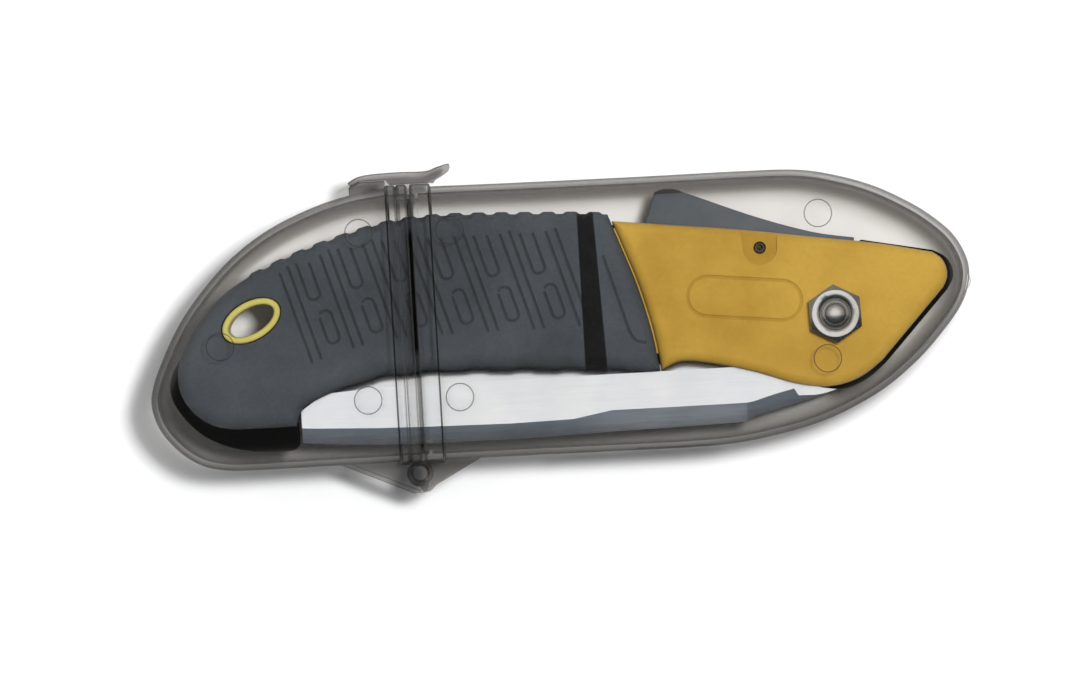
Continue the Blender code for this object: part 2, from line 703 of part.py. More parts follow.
def side_cut(made, side, outline, low, high):
    first, last = sorted((side * low, side * high))
    return cut(made, outline, first, last)


def side_name(side):
    return "near" if side > 0 else "far"


def scale(side, parent):
    name = side_name(side) + "_scale"
    made = layer(name, side, drawn(SCALE_RUNS), scale_low, scale_high, SCALE_EDGE)
    core = layer("core", side, drawn(CORE_RUNS), scale_low, core_high)
    combine(made, core, "UNION")
    far = scale_high + 1 * MM
    side_cut(made, side, circle(PIVOT, bolt_hole), 0, far)
    side_cut(made, side, circle(LEVER_PIN, LEVER_PIN_DIAMETER / 2 + BOLT_PLAY, 20), 0, far)
    side_cut(made, side, lever_recess(), scale_high - LEVER_RECESS_DEPTH, far)
    side_cut(made, side, eyelet_hole(FIT), 0, far)
    for place in SCREWS.values():
        deep = core_high - 0.6 * MM if side > 0 else far
        side_cut(made, side, circle(place, SCREW_DIAMETER / 2 + BOLT_PLAY, 16), 0, deep)
    if side < 0:
        head = circle(SCREWS["front"], SCREW_HEAD_DIAMETER / 2 + FIT, 20)
        side_cut(made, side, head, screw_seat("front") - LAYER_GAP, far)
    return finish(made, "yellow", parent)


def lever_recess():
    """A U that opens through the scale's upper edge."""
    arc = [math.pi + math.pi * k / 14 for k in range(15)]
    found = [LEVER_PIN + LEVER_RECESS_RADIUS * Vector((math.cos(a), math.sin(a))) for a in arc]
    top = LEVER_PIN.y + 2.2 * LEVER_RECESS_RADIUS
    splay = 0.6 * MM
    return found + [
        Vector((LEVER_PIN.x + LEVER_RECESS_RADIUS + splay, top)),
        Vector((LEVER_PIN.x - LEVER_RECESS_RADIUS - splay, top)),
    ]


def screw_seat(which):
    """The height of the underside of a screw's head, on the far side."""
    if which == "front":
        return scale_high - SCREW_HEAD_HEIGHT - SCREW_HEAD_SUNK
    return core_high + LAYER_GAP


def grip(side, parent):
    name = side_name(side) + "_grip"
    made = layer(name, side, grip_outline(), scale_low, grip_high, GRIP_EDGE)
    pocket = inset(drawn(CORE_RUNS), -FIT)
    side_cut(made, side, pocket, 0, core_high + FIT)
    side_cut(made, side, eyelet_hole(FIT), 0, grip_high + 1 * MM)
    if side < 0:
        for which in ("rear", "middle"):
            head = circle(SCREWS[which], SCREW_HEAD_DIAMETER / 2 + FIT, 20)
            side_cut(made, side, head, 0, grip_high + 1 * MM)
    return finish(made, "rubber", parent)


def liner(side, parent):
    name = side_name(side) + "_liner"
    made = layer(name, side, drawn(LINER_RUNS), liner_low, liner_high)
    far = liner_high + 0.1 * MM
    side_cut(made, side, circle(PIVOT, bolt_hole), 0, far)
    side_cut(made, side, circle(LEVER_PIN, LEVER_PIN_DIAMETER / 2 + BOLT_PLAY, 20), 0, far)
    side_cut(made, side, circle(STOP_PIN, STOP_PIN_DIAMETER / 2 + LAYER_GAP, 20), 0, far)
    side_cut(made, side, eyelet_hole(FIT), 0, far)
    for place in SCREWS.values():
        side_cut(made, side, circle(place, SCREW_DIAMETER / 2 + BOLT_PLAY, 16), 0, far)
    return finish(made, "black", parent)


def rear_spacer(parent):
    made = slab("rear_spacer", drawn(SPACER_RUNS), -spacer_half, spacer_half)
    cut(made, eyelet_hole(FIT), -spacer_half - 1 * MM, spacer_half + 1 * MM)
    for which in ("rear", "middle"):
        hole = circle(SCREWS[which], SCREW_DIAMETER / 2 + BOLT_PLAY, 16)
        cut(made, hole, -spacer_half - 1 * MM, spacer_half + 1 * MM)
    return finish(made, "black", parent)


def lanyard_eyelet(parent):
    half = grip_high + EYELET_PROUD
    edge = 0.5 * MM
    made = slab("lanyard_eyelet", eyelet_hole(0.0), -half, half, edge, edge, 2)
    cut(made, eyelet_hole(-EYELET_WALL), -half - 1 * MM, half + 1 * MM)
    return finish(made, "yellow", parent)


def stop_pin(parent):
    half = liner_high - 0.05 * MM
    made = slab("stop_pin", circle(STOP_PIN, STOP_PIN_DIAMETER / 2, 20), -half, half)
    return finish(made, "steel", parent)


def scale_screw(which, parent):
    """A screw put in from the far side, with its head in a recess."""
    seat = -screw_seat(which)
    tip = scale_low + SCREW_GRIP
    place = SCREWS[which]
    radius, head = SCREW_DIAMETER / 2, SCREW_HEAD_DIAMETER / 2
    profile = [
        (head - 0.6 * MM, seat - SCREW_HEAD_HEIGHT), (head, seat - SCREW_HEAD_HEIGHT + 0.6 * MM),
        (head, seat), (radius, seat), (radius, tip - 0.5 * MM), (radius * 0.5, tip),
    ]
    made = turned("scale_screw_" + which, place, profile, 20)
    socket = circle(place, 1.3 * MM, 6)
    cut(made, socket, seat - SCREW_HEAD_HEIGHT - 1 * MM, seat - SCREW_HEAD_HEIGHT + 1.3 * MM)
    return finish(made, "zinc", parent)


# ---- pivot of the blade


def hexagon(across_flats):
    """A hexagon about the pivot with a corner at its top."""
    return circle(PIVOT, across_flats / 2 / math.cos(math.pi / 6), 6, math.pi / 2 + HEX_LEAN)


def hex_body(name, low, high, chamfered_high):
    """A hexagonal head or nut with its outer corners turned off."""
    made = slab(name, hexagon(NUT_ACROSS_FLATS), low, high)
    corner = NUT_ACROSS_FLATS / 2 / math.cos(math.pi / 6) + 0.1 * MM
    ring = 0.95 * NUT_ACROSS_FLATS / 2
    drop = (corner - ring) * math.tan(math.radians(30))
    if chamfered_high:
        profile = [(corner, low - 1 * MM), (corner, high - drop), (ring, high)]
    else:
        profile = [(ring, low), (corner, low + drop), (corner, high + 1 * MM)]
    return combine(made, turned("chamfer", PIVOT, profile, 48), "INTERSECT")


def pivot_nut(parent):
    made = hex_body("pivot_nut", nut_low, nut_high, True)
    cut(made, circle(PIVOT, sleeve_inner), nut_low - 1 * MM, nut_high + 1 * MM)
    return finish(made, "zinc", parent)


def pivot_bolt(parent):
    made = hex_body("pivot_bolt", bolt_low, -nut_low, False)
    overlap = 1 * MM
    profile = [(bolt_radius, -nut_low - overlap), (bolt_radius, nut_high - 0.2 * MM)]
    for turn in (25, 50, 72):
        angle = math.radians(turn)
        rise = (BOLT_DOME + 0.2 * MM) * math.sin(angle)
        profile.append((bolt_radius * math.cos(angle), nut_high - 0.2 * MM + rise))
    combine(made, turned("shank", PIVOT, profile), "UNION")
    return finish(made, "zinc", parent)


def pivot_sleeve(parent):
    made = slab("pivot_sleeve", circle(PIVOT, sleeve_outer), -spacer_half, spacer_half)
    cut(made, circle(PIVOT, sleeve_inner), -0.01, 0.01)
    return finish(made, "brass", parent)


def pivot_washer(side, parent):
    low = BLADE_THICKNESS / 2 + LAYER_GAP
    outline = circle(PIVOT, WASHER_DIAMETER / 2)
    made = layer(side_name(side) + "_washer", side, outline, low, low + WASHER_THICKNESS)
    cut(made, circle(PIVOT, sleeve_outer + LAYER_GAP), -0.01, 0.01)
    return finish(made, "brass", parent)


# ---- blade


def blade(parent):
    """A plate with a bevel along its spine and a ground edge, and a round tang."""
    full = BLADE_THICKNESS / 2
    back = SPINE_THICKNESS / 2
    edge = EDGE_THICKNESS / 2
    start = BLADE_SECTIONS[0][0]
    rings = []
    for x, spine, bevel in BLADE_SECTIONS:
        reach = min(1.0, (x - start) / BLADE_TIP_CURVE)
        top = BLADE_TIP_TOP_Y + (BLADE_EDGE_Y - BLADE_TIP_TOP_Y) * math.sin(math.pi / 2 * reach)
        place = at(x, spine)
        bevel_y = at(x, bevel).y
        edge_y = at(x, top).y
        grind_y = max(edge_y - GRIND_WIDTH, (bevel_y + edge_y) / 2)
        section = [
            (place.y, -back), (place.y, back), (bevel_y, full), (grind_y, full),
            (edge_y, edge), (edge_y, -edge), (grind_y, -full), (bevel_y, -full),
        ]
        rings.append([(place.x, y, z) for y, z in section])
    made = solid("blade", rings)
    combine(made, slab("tang", drawn(TANG_RUNS), -full, full), "UNION")
    cut(made, circle(PIVOT, sleeve_outer + LAYER_GAP), -0.01, 0.01)
    return finish(made, "steel", parent)


# ---- lock lever


def lock_lever(parent):
    half = liner_low - LEVER_SIDE_PLAY
    made = slab("lock_lever", drawn(LEVER_RUNS), -half, half, 0.4 * MM, 0.4 * MM, 2)
    cut(made, circle(LEVER_PIN, LEVER_PIN_DIAMETER / 2 + BOLT_PLAY, 20), -0.01, 0.01)
    return finish(made, "lever", parent)


def lever_pin(parent):
    """A hollow pin whose ends show in the recesses of the scales."""
    half = scale_high - LEVER_RECESS_DEPTH + 0.2 * MM
    rim = circle(LEVER_PIN, LEVER_PIN_DIAMETER / 2, 20)
    made = slab("lever_pin", rim, -half, half, 0.2 * MM, 0.2 * MM, 1)
    cut(made, circle(LEVER_PIN, LEVER_PIN_BORE / 2, 12), -0.02, 0.02)
    return finish(made, "steel", parent)


def lever_spring(parent):
    """A leaf that rises from the spacer to the underside of the lever."""
    line = smooth([at(*point) for point in SPRING_RUNS[0]], 4)
    low, high = [], []
    for i, here in enumerate(line):
        along = (line[min(i + 1, len(line) - 1)] - line[max(i - 1, 0)]).normalized()
        out = Vector((-along.y, along.x)) * SPRING_THICKNESS / 2
        low.append(here - out)
        high.append(here + out)
    half = liner_low - 2 * LEVER_SIDE_PLAY
    return finish(slab("lever_spring", low + high[::-1], -half, half), "steel", parent)


# ---- assembly


def place_on_floor(case):
    """Move the whole assembly so that its origin is the middle of the floor under it."""
    bpy.context.view_layer.update()
    corners = []
    for piece in bpy.context.scene.objects:
        if piece.type == "MESH":
            corners += [piece.matrix_world @ vertex.co for vertex in piece.data.vertices]
    low = [min(corner[i] for corner in corners) for i in range(3)]
    high = [max(corner[i] for corner in corners) for i in range(3)]
    case.location += Vector((-(low[0] + high[0]) / 2, -(low[1] + high[1]) / 2, -low[2]))


def build():
    for old in list(bpy.data.objects):
        bpy.data.objects.remove(old)
    case = joint("case_axis", Vector((0, 0)))
    cap = joint("cap_hinge_axis", Vector((0, 0)), case)
    latch = joint("latch_axis", Vector((-13.4 * MM, latch_low() + 0.5 * MM)), cap)
    knife = joint("knife_axis", PIVOT, case)
    folding = joint("blade_axis", PIVOT, knife)
    lever = joint("lever_axis", LEVER_PIN, knife)
    case_body(case)
    hinge_pin(case)
    case_cap(cap)
    latch_tongue(latch)
    for side in (1, -1):
        scale(side, knife)
        grip(side, knife)
        liner(side, knife)
        pivot_washer(side, knife)
    rear_spacer(knife)
    lanyard_eyelet(knife)
    stop_pin(knife)
    for which in SCREWS:
        scale_screw(which, knife)
    pivot_bolt(knife)
    pivot_nut(knife)
    pivot_sleeve(knife)
    blade(folding)
    lock_lever(lever)
    lever_pin(knife)
    lever_spring(knife)
    place_on_floor(case)


build()
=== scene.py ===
"""The folding utility knife in its closed, see-through case, dressed and lit for its photo."""

import json
from math import cos, hypot, pi, radians, sin, tan

import bmesh
import bpy
from mathutils import Matrix, Vector


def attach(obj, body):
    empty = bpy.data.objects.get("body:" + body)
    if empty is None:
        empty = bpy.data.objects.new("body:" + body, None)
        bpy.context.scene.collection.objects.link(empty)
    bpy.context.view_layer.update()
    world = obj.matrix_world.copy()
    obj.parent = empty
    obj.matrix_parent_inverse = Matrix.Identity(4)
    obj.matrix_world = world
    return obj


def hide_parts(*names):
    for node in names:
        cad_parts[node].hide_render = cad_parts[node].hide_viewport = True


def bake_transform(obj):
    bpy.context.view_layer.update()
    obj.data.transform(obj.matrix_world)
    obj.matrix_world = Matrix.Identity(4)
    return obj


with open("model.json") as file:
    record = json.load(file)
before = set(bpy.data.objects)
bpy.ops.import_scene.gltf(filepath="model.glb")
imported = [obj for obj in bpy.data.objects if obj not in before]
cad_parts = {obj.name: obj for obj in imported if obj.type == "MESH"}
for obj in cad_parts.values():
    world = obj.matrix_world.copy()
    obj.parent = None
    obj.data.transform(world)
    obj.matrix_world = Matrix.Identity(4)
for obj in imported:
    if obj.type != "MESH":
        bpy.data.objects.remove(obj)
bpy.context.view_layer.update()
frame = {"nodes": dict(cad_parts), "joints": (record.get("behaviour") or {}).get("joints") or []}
scene = bpy.context.scene

MM = 0.001


def mm(*values):
    return [value * MM for value in values]


# Places of the joints, which carry the drawn outlines to their place in the row frame.
joint_places = {joint["name"]: joint.get("pos_m") for joint in frame["joints"]}
HINGE = Vector(joint_places["cap_hinge"]).xy
MIDDLE = joint_places["cap_hinge"][2]

# Layers of the knife above its middle plane, as in the CAD.
LINER_LOW, LINER_HIGH = mm(2.2, 3.2)
SCALE_LOW, SCALE_HIGH = mm(3.35, 8.95)
CORE_HIGH, GRIP_HIGH = mm(6.15, 9.95)
SPACER_HALF, LEVER_HALF, SPRING_THICKNESS = mm(2.05, 2.0, 1.0)
NUT_LOW, NUT_HIGH = mm(9.1, 14.1)
BOLT_DOME, FIT = mm(0.9, 0.3)

# Sizes of the single pieces.
BLADE_THICKNESS, SPINE_THICKNESS, EDGE_THICKNESS = mm(3.0, 1.7, 0.3)
GRIND_WIDTH, SLEEVE_RADIUS = mm(9.0, 4.95)
BOLT_RADIUS, BOLT_HOLE, NUT_BORE, NUT_ACROSS_FLATS = mm(4.0, 4.3, 4.15, 13.0)
HEX_LEAN = radians(1.8)
EYELET_LENGTH, EYELET_WIDTH, EYELET_WALL = mm(16.2, 9.8, 1.7)
EYELET_TILT = radians(26.6)
EYELET_PROUD, EYELET_ROLL = mm(0.3, 0.7)
LEVER_PIN_RADIUS, LEVER_PIN_BORE = mm(1.45, 0.8)
PIN_FIT, PIN_CHAMFER = mm(0.15, 0.25)
RECESS_RADIUS, RECESS_DEPTH = mm(4.4, 1.0)
SCALE_EDGE, GRIP_EDGE, LEVER_EDGE = mm(2.6, 4.0, 0.5)
LINER_EDGE, SPACER_EDGE = mm(0.15, 0.35)
RIB_PITCH, RIB_HEIGHT = mm(6.0, 0.6)
NUB_PITCH, NUB_HEIGHT = mm(12.0, 0.35)
SCREW_HEAD_RADIUS, SCREW_SEAT, SCREW_HOLE = mm(3.3, 6.4, 1.65)
STOP_PIN_HOLE = 2.15 * MM
PLAQUE_OUTER, PLAQUE_INNER = mm(30, 11), mm(28.3, 9.3)
PLAQUE_TILT, PLAQUE_DEPTH = radians(-6.5), 0.55 * MM

CASE_HALF, CASE_WALL, CASE_EDGE = mm(17.2, 1.6, 7.0)
CASE_INNER_HALF = CASE_HALF - CASE_WALL
MOUTH_X, LIP_X = mm(1.5, 0.6)
MOUTH_FLOOR, RELIEF_TOP, WEB_WIDTH = mm(3.3, 3.28, 3.3)
COLLAR_PROUD, COLLAR_FACE_PROUD, BAND_ROUND = mm(0.8, 0.4, 0.5)
COLLAR_WIDTH, BAND_WIDTH, BAND_GROOVE = mm(5.2, 2.6, 0.25)
SPIGOT_LENGTH, SPIGOT_WALL, SPIGOT_PLAY = mm(3.6, 0.9, 0.2)
MARK_RADIUS, MARK_LINE = mm(3.5, 0.22)
BARREL_RADIUS, PIN_RADIUS, PIN_PLAY = mm(3.25, 2.1, 0.12)
CAP_KNUCKLE_HALF, KNUCKLE_LENGTH = mm(4.2, 4.5)
GUSSET_THICKNESS, FLANGE_THICKNESS = mm(1.6, 1.1)
LATCH_HALF, LATCH_THICKNESS, LATCH_BLOCK_GAP = mm(7.5, 1.5, 0.35)

# Fineness of the meshes.
CURVE_STEPS = 8
CASE_SPACING, GRIP_SPACING, FINE_SPACING = mm(1.4, 0.4, 0.8)
ROUND, SMALL_ROUND = 72, 40
CUT_FAR = 1 * MM


def at(x, y):
    """A drawn point, in millimetres from the hinge pin, in the row frame."""
    return HINGE + Vector((x, y)) * MM


PIVOT = at(108.25, 34.65)
LEVER_PIN = at(90.05, 52.6)
EYELET = at(-40.8, 41.5)
PLAQUE = at(85.4, 39.9)
STOP_PIN = at(125.4, 43.0)
# Above this Y the lever is painted black, as painted shade on its upper edge.
LEVER_TOP_SHADE = at(0, 67.9)
# Edges and lean of the near-black band painted across the grip: a painted dark reflection from the
# case's surface.
DARK_REFLECTION_LEFT, DARK_REFLECTION_RIGHT = at(43.8, 60.0), at(48.1, 60.0)
DARK_REFLECTION_LEAN = 0.037
SCREWS = {"rear": at(-20.0, 46.0), "middle": at(40.0, 51.5), "front": at(131.6, 44.2)}

# Outlines run anticlockwise. Each is a list of runs, and a run starts where the one before
# it ends: with one point it is straight, and with more a smooth curve through its points.
CASE_RUNS = [
    [(25, 3.1), (50, 2.85), (70, 2.7), (82, 3.2), (92, 4.7), (101, 6.7), (110, 9.9), (120, 15),
     (129, 21.9), (135.5, 28.6), (140, 34.2), (142.5, 39.4), (143.1, 44.2), (142.1, 48.5),
     (139.4, 53.3), (135, 57.6), (129, 61.9), (120, 66.7), (110, 70.1), (100, 72), (85, 72.4),
     (60, 72.5), (30, 72.8), (0, 73.2), (-8, 72.9), (-16, 71.6), (-25, 68.9), (-35, 64.5),
     (-44, 58.5), (-52, 50.8), (-59.2, 41.6), (-64.6, 31.4), (-66.9, 25.4), (-67.4, 21),
     (-66, 15.8), (-63.1, 11.4), (-59.2, 7.6), (-54.5, 4.9), (-48.5, 3.6), (-42, 3.3)],
    [(0, 3.3)],
]
SCALE_RUNS = [
    [(68.7, 24.8), (77, 23.6), (87.6, 20.8), (96.3, 17.7), (102.2, 16.4), (106.5, 16.2),
     (111, 17), (115.4, 18.9), (119.8, 22.1)], [(136.4, 39.8)],
    [(137.5, 42.2), (137.5, 44.7), (136.4, 47.2), (134.2, 49)],
    [(120, 52.1), (103.5, 54.7), (85.1, 57.6), (70, 59.5), (52.7, 61.6)],
    [(55.4, 54.4), (58.8, 44.6), (61.8, 32.8), (63.3, 22.9)],
]
GRIP_RUNS = [
    [(61.4, 32.8), (58.4, 44.6), (55, 54.4), (51.7, 63.4)],
    [(42, 64.1), (34, 64.5), (22, 65.1), (10, 65.5), (0, 65.1), (-8, 63.9), (-18, 61.3),
     (-29, 57.7), (-41.2, 52.6)],
    [(-48, 48.2), (-54.6, 41.2), (-58.4, 35.4), (-60.3, 30), (-60.1, 24.4), (-57.6, 19.6),
     (-53.2, 15.8), (-47.8, 14.2), (-40.5, 13.9), (-30.9, 13.9)],
    [(-30, 16.6), (-28.4, 18.8), (-25, 20.5), (-20, 22.5)],
    [(-14.5, 24.3), (-8, 25.6), (3, 26.3), (15, 26.1), (30, 25.4), (42, 24.6), (52, 23.8),
     (62.9, 22.7)],
]
CORE_RUNS = [
    [(68, 28)], [(62, 59.8)], [(49, 59.8)],
    [(30, 61), (8, 61.8), (-8, 60.1), (-28, 54), (-44.6, 46.4), (-52.2, 38.4), (-56.4, 29),
     (-54, 22.4), (-46.5, 17.8), (-33.5, 17.8), (-28, 21.6), (-20, 26), (-10, 28.8), (3, 29.9),
     (22, 29.4), (42, 28.2), (57.5, 26.4)],
]
LINER_RUNS = [
    [(-27, 21.4), (-19, 24.6), (-8, 27.2), (3, 27.9), (16, 27.7), (32, 26.9), (50, 25.4),
     (62, 24.6), (69, 26.3), (78, 25.2), (88, 22.4), (97, 18.9), (104, 16)],
    [(108, 15.4), (112, 15.9), (116, 17.7), (120.2, 20.9), (124, 24.8)], [(137.6, 39.3)],
    [(139.2, 42.2), (139, 45.2), (137.3, 47.8), (134.4, 49.5)], [(116.2, 53.2)], [(115.2, 51.9)],
    [(103, 53.4), (85, 56.3), (70, 58.2), (53, 60.6), (42, 62.8), (22, 63.8), (9, 64.2),
     (-8, 62.6), (-18, 60), (-29, 56.4), (-40.8, 51.3), (-47.2, 47), (-53.5, 40.4),
     (-57.2, 34.8), (-59, 29.8), (-58.8, 24.8), (-56.6, 20.4), (-52.6, 16.9), (-47.4, 15.4),
     (-40, 15.1), (-30.9, 15.2)],
]
SPACER_RUNS = [
    [(-61.6, 29.8), (-62.8, 25.4), (-61.8, 21.2), (-58.6, 16.4), (-54.4, 12.5), (-48.6, 9.6),
     (-42, 8), (-35, 7.6), (-31.6, 7.9), (-30.3, 9.4)], [(-30.5, 20.6)],
    [(-29.2, 26.6), (-24, 31.2), (-14, 33.9), (10, 36.2), (54, 38.6)], [(55.5, 45)],
    [(53.2, 52)], [(52, 59.4)],
    [(42, 61.4), (22, 62.4), (9, 62.8), (-8, 61.2), (-18, 58.6), (-29, 55), (-40.3, 49.9),
     (-46.4, 45.8), (-52.4, 39.6), (-56.2, 35.8)], [(-58.4, 34.6)],
]
SPRING_RUN = [(56.2, 47), (63, 51.6), (71, 54), (79, 51.2)]
LEVER_RUNS = [
    [(61.8, 58.2)], [(72, 56.4), (80, 52.9), (85.5, 48.9), (90.5, 47.6), (97.5, 49.2)],
    [(105, 51.4)], [(109.6, 51.3)], [(110.4, 49.9)], [(114.4, 50.6)], [(114.5, 53.9)],
    [(106.6, 55.3), (100.6, 56.9), (94.5, 58.9), (88.4, 61.1), (81.7, 63.8), (76, 66.2),
     (71.5, 68)], [(69.4, 68.9), (66.6, 69.2), (64.1, 68.5)], [(61, 60)],
]
# Blade, folded: how far along it each cross-section lies, its spine and its bevel line.
BLADE_SECTIONS = [
    (-29.6, 9.5, 13.3), (-28.6, 9.3, 13.2), (-26, 9, 13), (-22, 8.7, 12.8),
    (-10, 7.9, 12.2), (4, 7.5, 11.8), (24, 7.4, 11.4), (40, 7.6, 11.6),
    (50, 7.8, 13.3), (68, 8, 13.2), (84.6, 8.3, 13.2), (86.2, 9.6, 13.4),
    (92, 11, 15), (99, 12.7, 16.6), (105, 14.4, 17.8),
]
BLADE_EDGE_Y, BLADE_TIP_TOP_Y, BLADE_TIP_CURVE = 31.5, 22.0, 10.0
TANG_RUNS = [
    [(103.5, 14.3), (109, 15.8), (114.5, 18.6)], [(121.6, 29.4)],
    [(122.7, 34.6), (121.6, 40.4), (117.4, 45.8), (111.6, 48.6), (104.6, 48.6)], [(97.4, 44.2)],
    [(92.5, 34.4), (90, 28)], [(98, 14.3)],
]
CAP_GUSSET_RUNS = [
    [(-4.4, -3.9)], [(-2.2, -4.8), (0.2, -5.1), (1.4, -4.7), (2, -3.2)], [(0, 0)],
    [(0.2, 4.1)], [(-22, 4.1)],
]
BODY_GUSSET_RUNS = [
    [(0.6, -4.6), (2.4, -4.6), (3.9, -3.2)], [(15.6, 3)], [(15.6, 4.1)], [(1.6, 4.1)],
    [(0, 0)], [(-0.4, -3)],
]
CAP_MARKS = [(-48.9, 35.3), (-12, 19.5), (-12, 62.2)]
BODY_MARKS = [(11.4, 19), (11.2, 61.6), (105.2, 60.5), (105.6, 23.4)]
GATE = at(142.9, 41.2)
GATE_RADIUS, GATE_HALF, GATE_PROUD = mm(2.6, 2.5, 0.8)

# Engraved pattern of the grips: slots that hang from the top, closed slots below them, and
# pairs of long lines between, all leaning alike.
LEAN = 0.3
SLOT_PITCH, SLOT_FIRST, SLOT_WIDTH = 11.75, 10.0, 3.3
LOWER_SLOT_SHIFT, LINE_SHIFTS = 0.9, (5.1, 7.7)
PATTERN_MIDDLE_Y = 50.0
LAST_LINE = [(49.8, 53), (53.4, 40.5), (55.8, 32.6), (58, 30.4), (61, 30.3)]
ENGRAVED_WIDTH, ENGRAVED_DEPTH = mm(0.75, 0.6)

# Camera: what it aims at, how far off it stands, how wide it sees there and its turn.
CAMERA_AIM, CAMERA_DISTANCE, VIEW_WIDTH = at(33.3, 31.0), 2.4, 0.2786
CAMERA_TURN = radians(-3.35)


# ---- outlines


def smooth(points, steps=CURVE_STEPS):
    """A curve through the points, with this many steps between each two of them."""
    if len(points) == 2:
        return list(points)
    ends = [2 * points[0] - points[1], *points, 2 * points[-1] - points[-2]]
    found = []
    for a, b, c, d in zip(ends, ends[1:], ends[2:], ends[3:]):
        for step in range(steps):
            t = step / steps
            found.append(
                0.5 * (2 * b + (c - a) * t + (2 * a - 5 * b + 4 * c - d) * t**2)
                + 0.5 * (3 * b - a - 3 * c + d) * t**3
            )
    return found + [points[-1]]


def lines(runs):
    """The lines of a closed outline, one for each run."""
    starts = [runs[-1][-1]] + [run[-1] for run in runs]
    return [smooth([at(*p) for p in (start, *run)]) for start, run in zip(starts, runs)]


def length_of(line):
    return sum((b - a).length for a, b in zip(line, line[1:]))


def resampled(line, count):
    """The line again, as this many equal steps."""
    reached = [0.0]
    for a, b in zip(line, line[1:]):
        reached.append(reached[-1] + (b - a).length)
    found, i = [], 0
    for k in range(count + 1):
        wanted = reached[-1] * k / count
        while i < len(line) - 2 and reached[i + 1] < wanted:
            i += 1
        share = (wanted - reached[i]) / max(reached[i + 1] - reached[i], 1e-9)
        found.append(line[i].lerp(line[i + 1], min(max(share, 0.0), 1.0)))
    return found


def left_of(a, b):
    along = (b - a).normalized()
    return Vector((-along.y, along.x))


def moved_corner(before, here, after, distance):
    """A corner moved inwards, to where the two moved sides meet."""
    normals = left_of(before, here), left_of(here, after)
    share = max(1 + normals[0].dot(normals[1]), 0.25)
    return here + (normals[0] + normals[1]) * distance / share


def moved_line(line, start, end, distance):
    """A line moved inwards, and cut back to the two corners it now runs between."""
    reach = 3 * abs(distance) + 0.01 * MM
    first = (line[1] - line[0]).normalized()
    last = (line[-1] - line[-2]).normalized()
    kept = []
    for before, here, after in zip(line, line[1:], line[2:]):
        point = moved_corner(before, here, after, distance)
        from_start, to_end = point - start, end - point
        if from_start.length < reach and from_start.dot(first) <= 0:
            continue
        if to_end.length < reach and to_end.dot(last) <= 0:
            continue
        kept.append(point)
    return [start, *kept, end]


def ribs_on(line, pitch, height, fade):
    """Low ribs that stand out of a line, a whole number of them along it."""
    count = max(1, round(length_of(line) / pitch))
    found = []
    for i, here in enumerate(line):
        before, after = line[max(i - 1, 0)], line[min(i + 1, len(line) - 1)]
        share = i / (len(line) - 1) * count % 1.0
        up = min(max((share - 0.18) / 0.2, 0.0), 1.0)
        down = min(max((share - 0.76) / 0.2, 0.0), 1.0)
        rise = up * up * (3 - 2 * up) - down * down * (3 - 2 * down)
        found.append(here - left_of(before, after) * height * rise * fade)
    return found


def ring(outline, distance=0.0, spacing=FINE_SPACING, ribs=None, reach=1.0):
    """The outline moved inwards, always with the same number of points."""
    found = []
    for i, line in enumerate(outline):
        before, after = outline[i - 1], outline[(i + 1) % len(outline)]
        start = moved_corner(before[-2], line[0], line[1], distance)
        end = moved_corner(line[-2], line[-1], after[1], distance)
        count = max(1, round(length_of(line) / spacing))
        made = resampled(moved_line(line, start, end, distance), count)
        if ribs and i in ribs:
            made = ribs_on(made, *ribs[i], max(0.0, 1 - distance / reach) ** 0.7)
        found += made[:-1]
    return found


def arc(centre, radius, angles):
    return [centre + radius * Vector((cos(a), sin(a))) for a in angles]


def circle(centre, radius, count=ROUND, turn=0.0):
    return arc(centre, radius, [turn + 2 * pi * k / count for k in range(count)])


def tilted(centre, points, tilt):
    for point in points:
        point.rotate(Matrix.Rotation(tilt, 2))
    return [centre + point for point in points]


def oval(centre, length, width, tilt, count=ROUND):
    angles = [2 * pi * k / count for k in range(count)]
    points = [Vector((length / 2 * cos(a), width / 2 * sin(a))) for a in angles]
    return tilted(centre, points, tilt)


def stadium(centre, length, width, tilt, count=24):
    """A slot's outline: two half circles and the straight lines between them."""
    half, angles = width / 2, [pi * (k / count - 0.5) for k in range(count + 1)]
    end = [((length - width) / 2 + half * cos(a), half * sin(a)) for a in angles]
    return tilted(centre, [Vector(p) * side for side in (1, -1) for p in end], tilt)


def box(low_x, low_y, high_x, high_y):
    corners = ((low_x, low_y), (high_x, low_y), (high_x, high_y), (low_x, high_y))
    return [HINGE + Vector(p) for p in corners]


def strip(path, width):
    """The outline of a narrow channel along a path."""
    left, right = [], []
    for i, here in enumerate(path):
        out = left_of(path[max(i - 1, 0)], path[min(i + 1, len(path) - 1)]) * width / 2
        left.append(here + out)
        right.append(here - out)
    return right + left[::-1]


# ---- solids


def placed(name, data):
    made = bpy.data.objects.new(name, data)
    scene.collection.objects.link(made)
    return made


def new_object(name, mesh):
    data = bpy.data.meshes.new(name)
    mesh.to_mesh(data)
    mesh.free()
    return placed(name, data)


def add_rings(mesh, rings):
    """A closed body through rings of equally many (x, y, z) points, capped at both ends."""
    rows = [[mesh.verts.new((x, y, z + MIDDLE)) for x, y, z in points] for points in rings]
    for low, high in zip(rows, rows[1:]):
        for i in range(len(low)):
            j = (i + 1) % len(low)
            mesh.faces.new((low[i], low[j], high[j], high[i]))
    mesh.faces.new(rows[0][::-1])
    mesh.faces.new(rows[-1])


def solid(name, *bodies):
    """One object from one or more bodies, each given as its rings."""
    mesh = bmesh.new()
    for rings in bodies:
        add_rings(mesh, rings)
    bmesh.ops.recalc_face_normals(mesh, faces=mesh.faces)
    return new_object(name, mesh)


def flat(outline, low, high):
    return [[(p.x, p.y, z) for p in outline] for z in (low, high)]


def quarter(edge, steps):
    """The steps of a rounded edge: how far in, and how far back, each one lies."""
    turns = [pi / 2 * k / steps for k in range(steps + 1 if edge else 1)]
    return [(edge * (1 - sin(turn)), edge * (1 - cos(turn))) for turn in turns]


